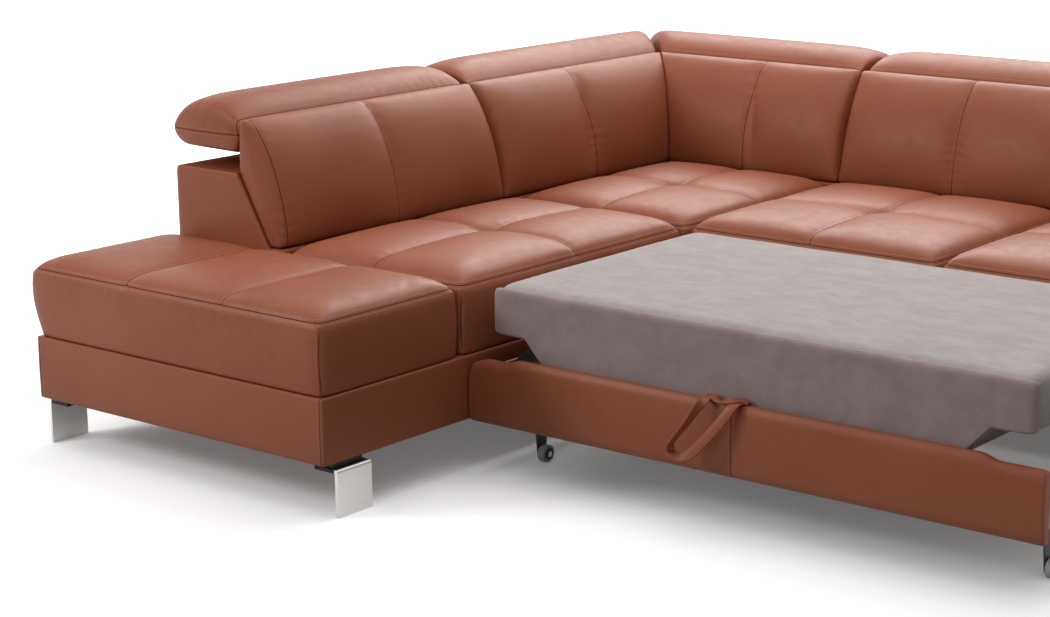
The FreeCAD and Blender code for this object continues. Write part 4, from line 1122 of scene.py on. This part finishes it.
# CAD nodes that stay in view: finishes and softened edges
SLOT_OF = {
    "leather": {"main_plinth_cover", "sidearm_cover"},
    "mattress_fabric": {"mattress_keel"},
    "timber": {"mattress_deck", "seat_boards", "back_ribs", "wing_plinth_frame", "corner_plinth_frame",
               "main_gables", "sidearm_frame", "drawer_front_board", "drawer_rails", "castor_carriers"},
    "brushed_steel": {"plate_legs"},
    "black_plastic": {"leg_spacers", "back_feet", "castor_wheel_left", "castor_wheel_right"},
    "pale_nylon": {"drawer_glides"},
    "black_steel": {"castor_brackets", "lift_arms_front", "lift_arms_rear", "lift_deck_brackets",
                    "headrest_brackets", "module_connectors"},
}
finishes = {node: slot for slot, members in SLOT_OF.items() for node in members}
for node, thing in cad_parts.items():
    if thing.hide_render:
        continue
    slot = finishes.get(node, "bright_steel")
    material = MATERIALS[slot]
    if node == "plate_legs":
        material = leg_steel_with_painted_shade()
    if node.startswith("castor_wheel"):
        material = castor_finish(thing)
    thing.data.materials.clear()
    thing.data.materials.append(material)
    if slot == "leather" or node in ("mattress_keel", "plate_legs"):
        bevel = thing.modifiers.new("Edges", "BEVEL")
        bevel.width = 0.0022
        bevel.segments = 3


# Floor, light and camera

def make_floor():
    """A wide floor that bounces little light. Where it is seen it is white, with a faint painted glow near
    the sofa that lightens its shadow, and a full glow further out.
    """
    reach = 30
    glow_start, glow_full = 1.7, 3.6
    material, tree, shader = new_material("floor_pale")
    seen = seen_rays(tree)
    distance = vector_value(tree, "LENGTH", object_point(tree))
    # Painted light: a glow of 0.12 near the sofa lightens its shadow on the floor; further out it rises to 1
    # for a white backdrop.
    glow = math_node(tree, "MULTIPLY", seen, ramp_between(tree, distance, glow_start, glow_full, 0.12, 1.0))
    colour = mix_colour(tree, seen, (0.27, 0.27, 0.27, 1), (0.95, 0.95, 0.95, 1))
    set_inputs(tree, shader, {
        "Base Color": colour, "Emission Strength": glow, "Emission Color": (1, 1, 1, 1),
        "Roughness": 0.95, "Specular IOR Level": 0.0})
    corners = [(-reach, -reach, 0), (reach, -reach, 0), (reach, reach, 0), (-reach, reach, 0)]
    floor = mesh_object("floor", corners, [(0, 1, 2, 3)], material)


def make_world():
    """A world that is white where it is seen or mirrored, and lights the sofa mostly from above."""
    world = bpy.data.worlds.new("studio")
    scene.world = world
    world.use_nodes = True
    tree = world.node_tree
    background = next(n for n in tree.nodes if n.type == "BACKGROUND")
    direction = tree.nodes.new("ShaderNodeTexCoord").outputs["Generated"]
    brightest = Vector((-0.06, -0.16, 0.98)).normalized()
    lobe = math_node(tree, "MAXIMUM", dot_value(tree, direction, brightest), 0.0)
    sky = math_node(tree, "MULTIPLY_ADD", math_node(tree, "POWER", lobe, 2.4), 1.5, 0.09)
    seen = seen_rays(tree)
    unseen = math_node(tree, "SUBTRACT", 1.0, seen)
    strength = math_node(tree, "ADD", math_node(tree, "MULTIPLY", sky, unseen), seen)
    set_inputs(tree, background, {"Color": (1, 1, 1, 1), "Strength": strength})


def area_light(name, location, target, size, power):
    data = bpy.data.lights.new(name, "AREA")
    data.shape = "RECTANGLE"
    data.size, data.size_y = size
    data.energy = power
    lamp = bpy.data.objects.new(name, data)
    lamp.location = location
    direction = Vector(target) - Vector(location)
    lamp.rotation_euler = direction.to_track_quat("-Z", "Y").to_euler()
    scene.collection.objects.link(lamp)


make_floor()
make_world()
area_light("overhead", (0.0, 0.4, 3.2), (0.0, 0.4, 0.4), (2.2, 1.6), 30)
area_light("behind", (-1.5, 2.9, 2.7), (0.1, 0.1, 0.4), (2.8, 1.8), 82)
area_light("left_front", (-2.6, -3.6, 2.2), (-0.3, -0.8, 0.4), (1.2, 0.9), 50)

# The camera was fitted to the straight edges in the photo
camera_data = bpy.data.cameras.new("camera")
camera_data.sensor_width = 36
camera_data.lens = 78.35
camera_data.shift_x = -0.11805
camera_data.shift_y = -0.01017
camera = bpy.data.objects.new("camera", camera_data)
camera.location = (2.978, -4.5045, 1.57)
camera.rotation_euler = (math.radians(76.91), 0, math.radians(36.87))
scene.collection.objects.link(camera)
scene.camera = camera
scene.view_settings.view_transform = "Standard"
